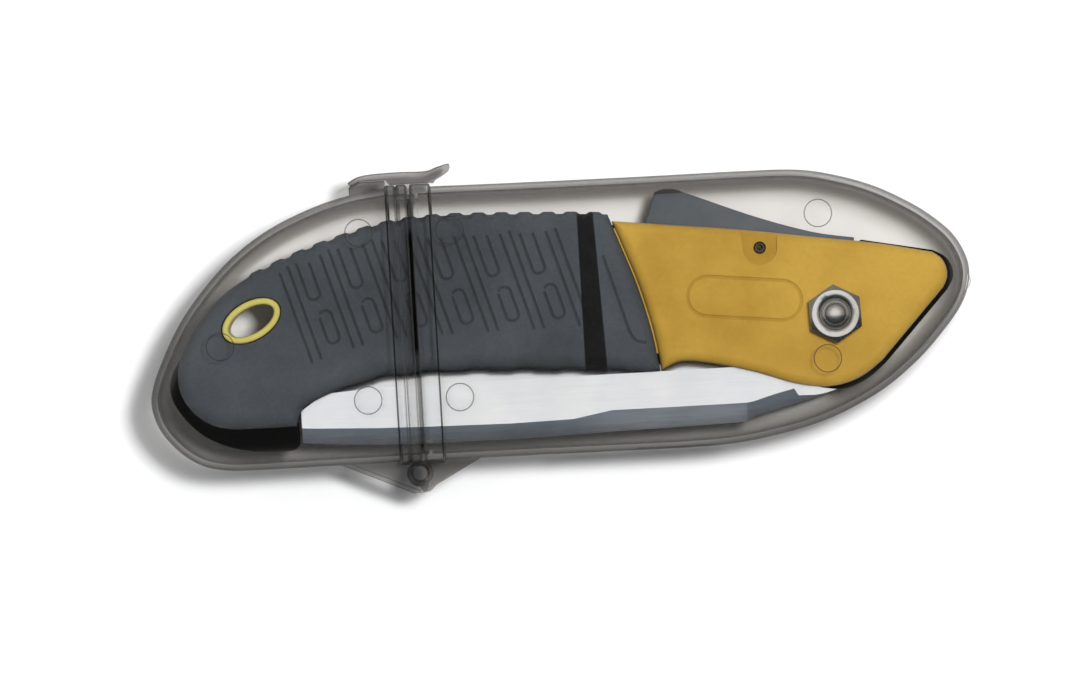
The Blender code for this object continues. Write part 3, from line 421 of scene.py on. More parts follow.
def rounded(outline, low, high, low_edge, high_edge, steps, **how):
    """Rings of an outline between two heights, with a rounded edge at either."""
    places = [(inward, low + back) for inward, back in quarter(low_edge, steps)]
    places += [(inward, high - back) for back, inward in quarter(high_edge, steps)]
    return [[(p.x, p.y, z) for p in ring(outline, d, **how)] for d, z in places]


def on_side(side, low, high):
    return sorted((side * low, side * high))


def turned(centre, profile, count=ROUND):
    """Rings of a body of revolution about Z, from (radius, height) pairs."""
    return [[(*p, z) for p in circle(centre, radius, count)] for radius, z in profile]


def shape_now(made):
    """Apply a piece's modifiers to its mesh."""
    graph = bpy.context.evaluated_depsgraph_get()
    result = bpy.data.meshes.new_from_object(made.evaluated_get(graph))
    made.modifiers.clear()
    made.data = result


def combine(target, other, operation):
    """Apply one Boolean to a body, and remove the helper that it used."""
    modifier = target.modifiers.new(operation, "BOOLEAN")
    modifier.operation = operation
    modifier.object = other
    modifier.solver = "EXACT"
    shape_now(target)
    bpy.data.objects.remove(other)
    return target


def join(target, rings):
    combine(target, solid("added", rings), "UNION")


def carve(target, *bodies):
    combine(target, solid("cutter", *bodies), "DIFFERENCE")


def cut(target, outline, low, high):
    carve(target, flat(outline, low, high))


def engrave(target, paths, width, low, high):
    """Cut narrow channels along several paths that don't cross."""
    carve(target, *[flat(strip(path, width), low, high) for path in paths])


def tidy_shading(made, angle):
    made.data.shade_smooth()
    made.data.set_sharp_from_angle(angle=radians(angle))
    normals = made.modifiers.new("normals", "WEIGHTED_NORMAL")
    normals.keep_sharp = True


def soften(made, width, segments=2):
    """A small round on every sharp edge of a simple piece."""
    bevel = made.modifiers.new("bevel", "BEVEL")
    bevel.width = width
    bevel.segments = segments
    bevel.limit_method = "ANGLE"
    bevel.angle_limit = radians(40)


def dress(made, body, node, finish, angle=32):
    """Give a piece its finish, and let it stand for its CAD node on its body."""
    made.data.materials.clear()
    made.data.materials.append(finish)
    tidy_shading(made, angle)
    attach(made, body)
    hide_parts(node)


# ---- nodes of the materials


def add(tree, kind, inputs=None, **settings):
    """A node with its settings, and each input linked or given its value."""
    node = tree.nodes.new("ShaderNode" + kind)
    for name, value in settings.items():
        setattr(node, name, value)
    for name, value in (inputs or {}).items():
        if isinstance(value, bpy.types.NodeSocket):
            tree.links.new(value, node.inputs[name])
        else:
            node.inputs[name].default_value = value
    return node


def calculated(tree, operation, *values):
    node = add(tree, "Math", dict(enumerate(values)), operation=operation)
    return node.outputs[0]


def ramp(tree, value, stops):
    """A colour or grey that follows a value through (place, colour) stops."""
    node = add(tree, "ValToRGB", {"Fac": value})
    while len(node.color_ramp.elements) < len(stops):
        node.color_ramp.elements.new(0.5)
    for element, (place, colour) in zip(node.color_ramp.elements, stops):
        element.position = place
        element.color = (*colour, 1) if isinstance(colour, tuple) else (colour,) * 3 + (1,)
    return node.outputs["Color"]


def mixed(tree, share, a, b, blend="MIX"):
    node = add(tree, "Mix", {0: share, 6: a, 7: b}, data_type="RGBA", blend_type=blend)
    return node.outputs[2]


def stretched(tree, coords, scale, turn=0.0):
    """Object coordinates stretched, for a texture that runs along one direction."""
    inputs = {"Vector": coords, "Scale": scale, "Rotation": (0, 0, turn)}
    return add(tree, "Mapping", inputs, vector_type="TEXTURE").outputs["Vector"]


def noise(tree, coords, scale, detail=4.0, roughness=0.55):
    inputs = {"Vector": coords, "Scale": scale, "Detail": detail, "Roughness": roughness}
    return add(tree, "TexNoise", inputs).outputs["Fac"]


def bump(tree, height, strength, distance, normal=None):
    inputs = {"Height": height, "Strength": strength, "Distance": distance}
    if normal:
        inputs["Normal"] = normal
    return add(tree, "Bump", inputs).outputs["Normal"]


def new_material(name):
    made = bpy.data.materials.new(name)
    made.use_nodes = True
    tree = made.node_tree
    tree.nodes.clear()
    return made, tree, add(tree, "TexCoord").outputs["Object"]


def end(tree, shader):
    add(tree, "OutputMaterial", {"Surface": shader.outputs[0]})


def step(tree, value, place, soft):
    """Nought below a place and one above it, with a soft edge."""
    return add(tree, "MapRange", {0: value, 1: place - soft, 2: place + soft}).outputs[0]


def between(tree, value, low, high, soft):
    """One where a value lies between two limits, with soft edges, and nought elsewhere."""
    rise, fall = step(tree, value, low, soft), step(tree, value, high, soft)
    return calculated(tree, "SUBTRACT", rise, fall)


def grained(tree, colour, gloss, grain, strength, depth):
    """The shader of a moulded, finely grained surface."""
    end(tree, add(tree, "BsdfPrincipled", {
        "Base Color": colour,
        "Roughness": gloss,
        "Specular IOR Level": 0.35,
        "Normal": bump(tree, grain, strength, depth),
    }))


# ---- materials


def plastic(name, colours, roughness, grain, cap=None):
    """Moulded plastic: mottled colour, a fine spark-eroded grain and uneven gloss.

    With a cap, it is painted black above that Y: painted shade on the lever's upper edge.
    """
    made, tree, coords = new_material(name)
    cloudy = noise(tree, coords, 55.0, 3.0)
    speck = noise(tree, coords, 900.0, 2.0)
    colour = ramp(tree, cloudy, colours)
    colour = mixed(tree, 0.12, colour, ramp(tree, speck, [(0.3, 0.35), (0.7, 1.0)]), "MULTIPLY")
    # Painted shade: black above the given height.
    if cap:
        height = add(tree, "SeparateXYZ", {0: coords}).outputs["Y"]
        above = step(tree, height, cap, 0.1 * MM)
        colour = mixed(tree, above, colour, (0.002, 0.002, 0.0025, 1))
    grainy = noise(tree, coords, 2600.0, 3.0)
    gloss = ramp(tree, noise(tree, coords, 140.0), [
        (0.3, roughness - 0.05), (0.7, roughness + 0.05),
    ])
    grained(tree, colour, gloss, grainy, grain, 0.06 * MM)
    return made


def rubber(name, colours):
    """Grey moulded rubber, dusty and finely grained, with a near-black band painted across the grip
    as a painted dark reflection from the case's surface.
    """
    made, tree, coords = new_material(name)
    cloudy = noise(tree, coords, 28.0, 4.0)
    colour = ramp(tree, cloudy, colours)
    speck = noise(tree, coords, 1400.0, 2.0)
    speckled = ramp(tree, speck, [(0.35, 0.55), (0.65, 1.0)])
    colour = mixed(tree, 0.25, colour, speckled, "MULTIPLY")
    # Painted dark reflection: a near-black band across the grip, its right edge leaning.
    place = add(tree, "SeparateXYZ", {0: coords}).outputs
    drift = calculated(tree, "SUBTRACT", DARK_REFLECTION_RIGHT.y, place["Y"])
    drift = calculated(tree, "MULTIPLY", drift, DARK_REFLECTION_LEAN)
    along = calculated(tree, "SUBTRACT", place["X"], drift)
    left = step(tree, place["X"], DARK_REFLECTION_LEFT.x, 0.15 * MM)
    right = step(tree, along, DARK_REFLECTION_RIGHT.x, 0.15 * MM)
    band = calculated(tree, "SUBTRACT", left, right)
    colour = mixed(tree, band, colour, (0.004, 0.004, 0.005, 1))
    grainy = noise(tree, coords, 2200.0, 4.0, 0.7)
    gloss = ramp(tree, noise(tree, coords, 200.0), [(0.3, 0.62), (0.7, 0.82)])
    grained(tree, colour, gloss, grainy, 0.5, 0.08 * MM)
    return made


def metal(name, colours, roughness, brush, strength, spread=0.08):
    """Metal with fine lines along one direction, slow waves, cloudy wear and uneven polish."""
    made, tree, coords = new_material(name)
    lined = noise(tree, stretched(tree, coords, brush), 1.0, 6.0, 0.7)
    cloudy = noise(tree, coords, 70.0, 3.0)
    colour = ramp(tree, cloudy, colours)
    colour = mixed(tree, 0.18, colour, ramp(tree, lined, [(0.3, 0.5), (0.7, 1.0)]), "MULTIPLY")
    gloss = calculated(tree, "MULTIPLY_ADD", lined, 2 * spread, roughness - spread)
    gloss = calculated(tree, "MULTIPLY_ADD", cloudy, spread, gloss)
    shader = add(tree, "BsdfPrincipled", {
        "Base Color": colour,
        "Metallic": 1.0,
        "Roughness": gloss,
        "Normal": bump(tree, lined, strength, 0.01 * MM, bump(tree, cloudy, 0.05, 0.5 * MM)),
    })
    end(tree, shader)
    return made


def smoke(name, tints, shines, gap=None):
    """Clear smoke-grey plastic, darker where it is seen at a slant, with painted shade where it
    shows in a gap, darkest beside the grip.
    """
    made, tree, coords = new_material(name)
    facing = add(tree, "LayerWeight", {"Blend": 0.5}).outputs["Facing"]
    tint = ramp(tree, facing, tints)
    if gap:
        # Painted shade of the parting gap: a dark tint inside the gap's X span, darkest beside the
        # grip.
        place = add(tree, "SeparateXYZ", {0: coords}).outputs
        beside_grip = between(tree, place["Y"], at(0, 31.0).y, at(0, 62.0).y, 1.0 * MM)
        shade = ramp(tree, beside_grip, [(0.0, (0.66, 0.655, 0.65)), (1.0, (0.2, 0.197, 0.195))])
        tint = mixed(tree, between(tree, place["X"], *gap, 0.1 * MM), tint, shade)
    flow = noise(tree, coords, 38.0, 3.0)
    tint = mixed(tree, 0.05, tint, ramp(tree, flow, [(0.3, 0.6), (0.7, 1.0)]), "MULTIPLY")
    brushed = stretched(tree, coords, (0.02, 0.0004, 0.02), radians(14))
    scratch = noise(tree, brushed, 1.0, 5.0, 0.8)
    fine = noise(tree, coords, 700.0, 3.0)
    wavy = bump(tree, flow, 0.15, 0.4 * MM)
    shader = add(tree, "BsdfPrincipled", {
        "Base Color": (0.33, 0.32, 0.305, 1),
        "Roughness": ramp(tree, fine, [(0.3, 0.05), (0.75, 0.16)]),
        "Normal": bump(tree, scratch, 0.12, 0.02 * MM, wavy),
    })
    clear = add(tree, "BsdfTransparent", {"Color": tint})
    shine = ramp(tree, facing, shines)
    end(tree, add(tree, "MixShader", {0: shine, 1: clear.outputs[0], 2: shader.outputs[0]}))
    return made


CASE_TINTS = [
    (0.0, (0.982, 0.979, 0.975)), (0.05, (0.972, 0.968, 0.962)), (0.10, (0.868, 0.862, 0.853)),
    (0.5, (0.76, 0.752, 0.74)), (1.0, (0.36, 0.354, 0.348)),
]
CASE_SHINES = [(0.0, 0.006), (0.05, 0.015), (0.12, 0.07), (0.5, 0.11), (0.8, 0.13), (1.0, 0.22)]
LATCH_TINTS = [(0.0, (0.62, 0.61, 0.60)), (0.3, (0.50, 0.49, 0.48)), (1.0, (0.3, 0.29, 0.28))]
HINGE_TINTS = [(0.0, (0.83, 0.825, 0.815)), (0.3, (0.43, 0.425, 0.42)), (1.0, (0.2, 0.197, 0.195))]
# Tints of the painted dark lines at the ends of the bands, standing in for light bent at their
# edges.
LINE_TINTS = [(0.0, (0.24, 0.237, 0.235)), (0.4, (0.12, 0.118, 0.117)), (1.0, (0.06, 0.059, 0.058))]
SPIGOT_TINTS = [(0.0, (0.985, 0.982, 0.978)), (0.3, (0.96, 0.955, 0.95)), (1.0, (0.8, 0.79, 0.78))]
THIN_SHINES = [(0.0, 0.002), (0.3, 0.02), (1.0, 0.5)]

smoke_clear = smoke("smoke_clear", CASE_TINTS, CASE_SHINES)
smoke_painted_line = smoke("smoke_painted_line", LINE_TINTS, THIN_SHINES)
smoke_latch = smoke("smoke_latch", LATCH_TINTS, CASE_SHINES)
smoke_hinge = smoke("smoke_hinge", HINGE_TINTS, CASE_SHINES)
# The parting gap's X span, where the spigot gets painted shade.
gap_shade_place = (HINGE.x + LIP_X + 0.1 * MM, HINGE.x + MOUTH_X + 0.2 * MM)
smoke_spigot = smoke("smoke_spigot", SPIGOT_TINTS, THIN_SHINES, gap_shade_place)
yellow = plastic(
    "yellow_plastic", [(0.25, (0.41, 0.235, 0.028)), (0.6, (0.52, 0.32, 0.048))], 0.5, 0.25)
yellow_shade = plastic(
    "yellow_shade", [(0.25, (0.335, 0.19, 0.019)), (0.6, (0.435, 0.26, 0.033))], 0.5, 0.25)
# The lever's upper edge is painted black: painted shade.
lever_grey = plastic(
    "lever_grey", [(0.3, (0.072, 0.082, 0.094)), (0.7, (0.12, 0.132, 0.148))], 0.5, 0.3,
    cap=LEVER_TOP_SHADE.y)
eyelet_yellow = plastic(
    "eyelet_yellow", [(0.3, (0.52, 0.46, 0.12)), (0.7, (0.66, 0.60, 0.17))], 0.35, 0.2)
grip_rubber = rubber("grip_rubber", [(0.3, (0.042, 0.049, 0.057)), (0.72, (0.08, 0.092, 0.105))])
# Darker rubber for the floors of the engraved lines: painted shade.
groove_shade_rubber = rubber(
    "groove_shade_rubber", [(0.3, (0.028, 0.032, 0.037)), (0.72, (0.054, 0.062, 0.070))])
black = metal(
    "black_oxide", [(0.3, (0.001, 0.001, 0.0012)), (0.7, (0.004, 0.004, 0.0045))], 0.5,
    (0.01, 0.0006, 0.01), 0.4)
steel = metal(
    "polished_steel", [(0.3, (0.84, 0.88, 0.92)), (0.7, (0.96, 0.97, 0.98))], 0.17,
    (0.02, 0.0005, 0.02), 0.35, 0.05)
LATHED = (0.002, 0.002, 0.0006)
zinc = metal(
    "zinc_plate", [(0.3, (0.66, 0.63, 0.58)), (0.7, (0.92, 0.91, 0.88))], 0.2, LATHED, 0.3, 0.06)
brass = metal("brass", [(0.3, (0.56, 0.40, 0.16)), (0.7, (0.72, 0.54, 0.24))], 0.3, LATHED, 0.3)
pin_bronze = metal(
    "pin_bronze", [(0.3, (0.10, 0.08, 0.055)), (0.7, (0.2, 0.165, 0.12))], 0.35, LATHED, 0.3)


# ---- case


def case_rings(grown, steps=10):
    """The whole case, solid, with its sides and faces moved outwards."""
    outline, half = lines(CASE_RUNS), CASE_HALF + grown
    places = [(d, half - back) for d, back in quarter(CASE_EDGE + grown, steps)]
    places = [(d, -z) for d, z in places] + places[::-1]
    return [[(p.x, p.y, z) for p in ring(outline, d - grown, CASE_SPACING)] for d, z in places]


def section(x, grown, face_grown, count=12):
    """The case's rounded cross-section near its mouth, as points across X."""
    edge = CASE_EDGE + grown
    low, high = MOUTH_FLOOR - grown + edge, case_top(x) + grown - edge
    half = CASE_HALF + face_grown - edge
    found = []
    for i, (y, z) in enumerate(((high, half), (low, half), (low, -half), (high, -half))):
        for k in range(count + 1):
            turn = pi / 2 * (i + k / count)
            point = (y + edge * cos(turn), z + edge * sin(turn))
            found.append((HINGE.x + x, HINGE.y + point[0], point[1]))
    return found


def case_top(x):
    """The height of the case's upper edge at a place near the mouth, from the hinge pin."""
    above = [p - HINGE for p in lines(CASE_RUNS)[0]]
    above = [p for p in above if p.y > 60 * MM and abs(p.x) < 40 * MM]
    above.sort(key=lambda p: p.x)
    for a, b in zip(above, above[1:]):
        if a.x <= x <= b.x:
            return a.y + (b.y - a.y) * (x - a.x) / (b.x - a.x)
    return above[0].y


def mouth_band(low_x, high_x, grown=COLLAR_PROUD, face_grown=COLLAR_FACE_PROUD, edge=BAND_ROUND):
    """A raised band round the case's mouth, its two edges rounded."""
    places = [(low_x + inward, drop) for inward, drop in quarter(edge, 3)][::-1]
    places += [(high_x + low_x - x, drop) for x, drop in places[::-1]]
    return [section(x, grown - drop, face_grown - drop) for x, drop in places]


def hinge_relief(made):
    """Bands end beside the knuckles, so that the other half can swing past them."""
    reach = CAP_KNUCKLE_HALF + KNUCKLE_LENGTH + 2 * FIT
    cut(made, box(-12 * MM, -20 * MM, 12 * MM, RELIEF_TOP), -reach, reach)


def add_torus(mesh, centre, profile, count=48):
    """A ring body about Z from a closed profile of (radius, height) pairs."""
    rows = []
    for k in range(count):
        a = 2 * pi * k / count
        out = Vector((cos(a), sin(a)))
        rows.append([mesh.verts.new((*(centre + out * r), z + MIDDLE)) for r, z in profile])
    for k in range(count):
        here, after = rows[k], rows[(k + 1) % count]
        for i in range(len(profile)):
            j = (i + 1) % len(profile)
            mesh.faces.new((here[i], after[i], after[j], here[j]))


def cut_marks(made, marks):
    """Thin rings with sloping walls, sunk into the inside of the near face."""
    mesh, wall = bmesh.new(), CASE_INNER_HALF
    for mark in marks:
        add_torus(mesh, at(*mark), [
            (MARK_RADIUS - MARK_LINE, wall - 0.1 * MM), (MARK_RADIUS, wall + MARK_LINE),
            (MARK_RADIUS + MARK_LINE, wall - 0.1 * MM), (MARK_RADIUS, wall - MARK_LINE),
        ])
    bmesh.ops.recalc_face_normals(mesh, faces=mesh.faces)
    combine(made, new_object("marks", mesh), "DIFFERENCE")


def gusset(runs):
    return [point for line in lines(runs) for point in line[:-1]]


def knuckle(low, high):
    return solid("knuckle", flat(circle(HINGE, BARREL_RADIUS), low, high))


def depth_at_mouth(y, z):
    """How deep a place lies inside the case's cross-section, near the mouth."""
    low, high = MOUTH_FLOOR, case_top(LIP_X)
    out_y = abs(y - (low + high) / 2) - (high - low) / 2 + CASE_EDGE
    out_z = abs(z) - CASE_HALF + CASE_EDGE
    outside = hypot(max(out_y, 0.0), max(out_z, 0.0))
    return CASE_EDGE - outside - min(max(out_y, out_z), 0.0)


# Zones of the case's finishes, in millimetres from the hinge pin, except for the depth.
HINGE_ZONE_TOP = 3.0
LATCH_SIDE_LOW, LATCH_SIDE_RIGHT = 60.0, -4.8
LATCH_TOP_LOW, LATCH_TOP_RIGHT = 73.8, -5.0
SPIGOT_LEFT, SPIGOT_RIGHT, SPIGOT_DEPTH = -2.3, 3.8, 1.7 * MM
BANDS_LEFT, BANDS_RIGHT, LINES_LEFT, LINES_RIGHT = -4.0, 6.0, -5.5, 7.5
CLEAR, LINE, HINGE_THICK, SPIGOT, LATCH = range(5)


def finish_of(face, marks):
    """Which of the case's finishes a face has."""
    x, y = (face.center.xy - HINGE) / MM
    z = face.center.z - MIDDLE
    upright, across = abs(face.normal.z) > 0.9, abs(face.normal.x) > 0.2
    if y < HINGE_ZONE_TOP:
        return HINGE_THICK
    if y > LATCH_SIDE_LOW and x < LATCH_SIDE_RIGHT and upright:
        if abs(abs(z) - LATCH_HALF) < 0.05 * MM:
            return LATCH
    if y > LATCH_TOP_LOW and x < LATCH_TOP_RIGHT:
        return LATCH
    if SPIGOT_LEFT < x < SPIGOT_RIGHT and depth_at_mouth(y * MM, z) > SPIGOT_DEPTH:
        return SPIGOT
    # Painted shade: faces across X at the ends of the bands get dark tints, standing in for light
    # bent at their edges.
    if across and BANDS_LEFT < x < BANDS_RIGHT:
        return HINGE_THICK
    if across and LINES_LEFT < x < LINES_RIGHT:
        return LINE
    # Painted shade: the sloping walls of the sunk marks get the darker hinge tint, for light bent
    # at them.
    in_mark = any(abs(hypot(x - a, y - b) - MARK_RADIUS / MM) < 0.3 for a, b in marks)
    if in_mark and z > 0 and abs(face.normal.z) < 0.95:
        return HINGE_THICK
    return CLEAR


def dress_case(made, body, node, marks):
    """Clear plastic, but painted dark lines where light bends at the ends of the bands and round
    the marks, a thick hinge, spigot and latch.
    """
    dress(made, body, node, smoke_clear)
    for finish in (smoke_painted_line, smoke_hinge, smoke_spigot, smoke_latch):
        made.data.materials.append(finish)
    for face in made.data.polygons:
        face.material_index = finish_of(face, marks)


def case_body():
    made = solid("case_body_shell", case_rings(0.0))
    join(made, mouth_band(MOUTH_X, MOUTH_X + COLLAR_WIDTH))
    gate = circle(GATE - Vector((GATE_RADIUS - GATE_PROUD, 0)), GATE_RADIUS, SMALL_ROUND)
    join(made, flat(gate, -GATE_HALF, GATE_HALF))
    hinge_relief(made)
    carve(made, case_rings(-CASE_WALL))
    cut_marks(made, BODY_MARKS)
    cut(made, box(-1.0, -1.0, MOUTH_X, 1.0), -1.0, 1.0)
    sunk = CASE_WALL + SPIGOT_PLAY
    ends = MOUTH_X - SPIGOT_LENGTH, MOUTH_X + 2 * MM
    spigot = solid("spigot", mouth_band(*ends, -sunk, -sunk, 0.3 * MM))
    half_wall, inner_wall = -CASE_WALL / 2, -sunk - SPIGOT_WALL
    root = solid("root", [section(MOUTH_X + x, half_wall, half_wall) for x in (1 * MM, 2 * MM)])
    for sleeve in (spigot, root):
        carve(sleeve, [section(x, inner_wall, inner_wall) for x in (-0.01, 0.01)])
    combine(spigot, root, "UNION")
    combine(made, spigot, "UNION")
    inner = CAP_KNUCKLE_HALF + FIT
    for side in (1, -1):
        near, far = on_side(side, inner, inner + KNUCKLE_LENGTH)
        low, high = on_side(side, inner, inner + GUSSET_THICKNESS)
        barrel = knuckle(near, far)
        join(barrel, flat(gusset(BODY_GUSSET_RUNS), low, high))
        web = [HINGE, HINGE + Vector((WEB_WIDTH, 0)), at(4.5, 4.1), at(1.6, 4.1)]
        join(barrel, flat(web, near, far))
        combine(made, barrel, "UNION")
    cut(made, circle(HINGE, PIN_RADIUS + PIN_PLAY), -10 * MM, 10 * MM)
    dress_case(made, "case_body", "case_body", BODY_MARKS)


def case_cap():
    made = solid("case_cap_shell", case_rings(0.0))
    for high_x in (LIP_X, LIP_X - BAND_WIDTH - BAND_GROOVE):
        join(made, mouth_band(high_x - BAND_WIDTH, high_x))
    hinge_relief(made)
    join(made, flat(latch_base(), -LATCH_HALF, LATCH_HALF))
    carve(made, case_rings(-CASE_WALL))
    cut_marks(made, CAP_MARKS)
    cut(made, box(LIP_X, -1.0, 1.0, 1.0), -1.0, 1.0)
    barrel = knuckle(-CAP_KNUCKLE_HALF, CAP_KNUCKLE_HALF)
    join(barrel, flat(gusset(CAP_GUSSET_RUNS), -GUSSET_THICKNESS / 2, GUSSET_THICKNESS / 2))
    join(barrel, flat(flange_outline(), -CAP_KNUCKLE_HALF, CAP_KNUCKLE_HALF))
    combine(made, barrel, "UNION")
    cut(made, circle(HINGE, PIN_RADIUS + PIN_PLAY), -10 * MM, 10 * MM)
    dress_case(made, "cap", "case_cap", CAP_MARKS)


def flange_outline():
    start, finish = at(-22.6, 4.4), at(-1.6, -5.1)
    along = (finish - start).normalized()
    inward = left_of(start, finish) * FLANGE_THICKNESS
    return [start, finish, finish + inward + along * FLANGE_THICKNESS, start + inward]


def latch_low():
    """The underside of the latch's tongue, just clear of the bands."""
    return case_top(LIP_X) + COLLAR_PROUD + LATCH_BLOCK_GAP


def latch_points(*pairs):
    return [HINGE + Vector((x * MM, latch_low() + y * MM)) for x, y in pairs]


def latch_base():
    left, right = -14.0, LIP_X / MM - 2 * BAND_WIDTH / MM - BAND_GROOVE / MM - 0.1
    sunk = [HINGE + Vector((x * MM, case_top(x * MM) - CASE_WALL / 2)) for x in (left, right)]
    return sunk + latch_points((right, 0.95), (left + 2.6, 0.95), (left, -0.3))


def latch_tongue():
    """A springy tongue from the cap over the body's collar, with a curled finger tab."""
    hook = (MOUTH_X + COLLAR_WIDTH) / MM
    thick = LATCH_THICKNESS / MM
    root = (LIP_X - 2 * BAND_WIDTH) / MM
    under = latch_points(
        (-13.8, 0.15), (-11.4, 1.3), (root - 0.1, 1.3), (root + 0.9, 0.0), (hook + 0.3, 0.0),
        (hook + 0.35, -0.1), (hook + 0.9, -0.1), (hook + 1.4, 0.7),
    )
    tab = smooth(latch_points(
        (hook + 1.4, 0.7), (hook + 3.2, 1.6), (hook + 4.8, 2.7), (hook + 5.3, 3.7),
    ))
    top = smooth(latch_points(
        (hook + 5.2, 4.4), (hook + 4.2, 4.3), (hook + 1.8, 1.6 + thick * 1.35),
        (hook - 1.0, 1.3 + thick), (-1.0, 1.45 + thick), (-8.0, 1.3 + thick),
        (-11.8, 1.0 + thick * 0.8), (-14.2, 0.15 + thick * 0.5),
    ))
    made = solid("latch_tongue_fine", flat(under + tab[1:] + top, -LATCH_HALF, LATCH_HALF))
    soften(made, 0.3 * MM, 3)
    dress(made, "latch", "latch_tongue", smoke_latch)


def pin(name, centre, radius, half, chamfer, count):
    profile = [
        (radius - chamfer, -half), (radius, chamfer - half),
        (radius, half - chamfer), (radius - chamfer, half),
    ]
    return solid(name, turned(centre, profile, count))


def hinge_pin():
    half = CAP_KNUCKLE_HALF + FIT + KNUCKLE_LENGTH + 0.1 * MM
    made = pin("hinge_pin_fine", HINGE, PIN_RADIUS, half, 0.3 * MM, ROUND)
    dress(made, "case_body", "hinge_pin", smoke_hinge)


# ---- handle


def side_name(side):
    return "near" if side > 0 else "far"


def side_rings(side, outline, low, high, edge, steps, **how):
    if side > 0:
        return rounded(outline, low, high, 0.0, edge, steps, **how)
    return rounded(outline, -high, -low, edge, 0.0, steps, **how)


def cut_side(made, side, low, high, *outlines):
    """Cut outlines through one half of the handle, between two heights."""
    for outline in outlines:
        cut(made, outline, *on_side(side, low, high))


def recolour(made, side, top, shallow, deep, level, finish):
    """Give the level faces between two depths below a half's top a second, darker finish, as
    painted shade in grooves and recesses.
    """
    made.data.materials.append(finish)
    for face in made.data.polygons:
        depth = top - side * (face.center.z - MIDDLE)
        if shallow < depth < deep and abs(face.normal.z) > level:
            face.material_index = 1


def eyelet_hole(grown):
    return oval(EYELET, EYELET_LENGTH + 2 * grown, EYELET_WIDTH + 2 * grown, EYELET_TILT)


def leaning(shift, y):
    """The place at a height on the pattern's line that crosses its middle at a shift."""
    return at(shift + (PATTERN_MIDDLE_Y - y) * LEAN, y)


def slot_path(shift, top, bottom, closed):
    """The outline of a slot: open at its top, or closed but for a hair at its middle."""
    half = SLOT_WIDTH / 2
    found = [leaning(shift - half, y) for y in (top - half, (top + bottom) / 2, bottom + half)]
    angles = [pi + pi * k / 12 for k in range(1, 12)]
    found += arc(leaning(shift, bottom + half), half * MM, angles)
    found += [leaning(shift + half, y) for y in (bottom + half, (top + bottom) / 2, top - half)]
    if closed:
        angles = [pi * k / 12.6 for k in range(1, 12)]
        found += arc(leaning(shift, top - half), half * MM, angles)
    return found


def sag(x):
    """How far the pattern's rows drop along the handle's tail."""
    return 0.0053 * min(x, 0.0) ** 2


def pattern():
    """The engraved lines of a grip, as paths."""
    paths = []
    for k in range(-4, 3):
        shift = SLOT_FIRST + SLOT_PITCH * k
        drop = sag(shift)
        if k > -4:
            paths.append(slot_path(shift, 61.5 - 1.3 * drop, 49.3 - drop, False))
            lower_shift = shift + LOWER_SLOT_SHIFT
            paths.append(slot_path(lower_shift, 46.4 - drop, 37.6 - 0.9 * drop, True))
        for line_shift, top in zip(LINE_SHIFTS, (60.0, 60.6)):
            x = shift + line_shift
            bottom = 35.2 - sag(x)
            high = top - 1.25 * sag(x)
            paths.append([leaning(x, high - (high - bottom) * t / 6) for t in range(7)])
    return paths + [smooth([at(*p) for p in LAST_LINE])]


def grip(side):
    name = side_name(side) + "_grip"
    ribs = {1: (RIB_PITCH, RIB_HEIGHT), 4: (NUB_PITCH, NUB_HEIGHT)}
    how = {"spacing": GRIP_SPACING, "ribs": ribs, "reach": GRIP_EDGE}
    rings = side_rings(side, lines(GRIP_RUNS), SCALE_LOW, GRIP_HIGH, GRIP_EDGE, 8, **how)
    made = solid(name + "_fine", rings)
    far = GRIP_HIGH + CUT_FAR
    cut_side(made, side, 0, CORE_HIGH + FIT, ring(lines(CORE_RUNS), -FIT))
    cut_side(made, side, 0, far, eyelet_hole(FIT))
    engrave(made, pattern(), ENGRAVED_WIDTH, *on_side(side, GRIP_HIGH - ENGRAVED_DEPTH, far))
    if side < 0:
        heads = [circle(SCREWS[w], SCREW_HEAD_RADIUS, SMALL_ROUND) for w in ("rear", "middle")]
        cut_side(made, side, 0, far, *heads)
    dress(made, "knife", name, grip_rubber)
    # Painted shade: the floors of the engraved lines get the darker rubber.
    shallow, deep = ENGRAVED_DEPTH - 0.02 * MM, ENGRAVED_DEPTH + 0.02 * MM
    recolour(made, side, GRIP_HIGH, shallow, deep, 0.99, groove_shade_rubber)


def lever_pin_hole():
    return circle(LEVER_PIN, LEVER_PIN_RADIUS + PIN_FIT)


def screw_hole(which):
    return circle(SCREWS[which], SCREW_HOLE, 32)


def lever_recess():
    """A U that opens through the scale's upper edge."""
    found = arc(LEVER_PIN, RECESS_RADIUS, [pi + pi * k / 30 for k in range(31)])
    top, splay = LEVER_PIN.y + 2.2 * RECESS_RADIUS, 0.6 * MM
    right, left = LEVER_PIN.x + RECESS_RADIUS + splay, LEVER_PIN.x - RECESS_RADIUS - splay
    return found + [Vector((right, top)), Vector((left, top))]


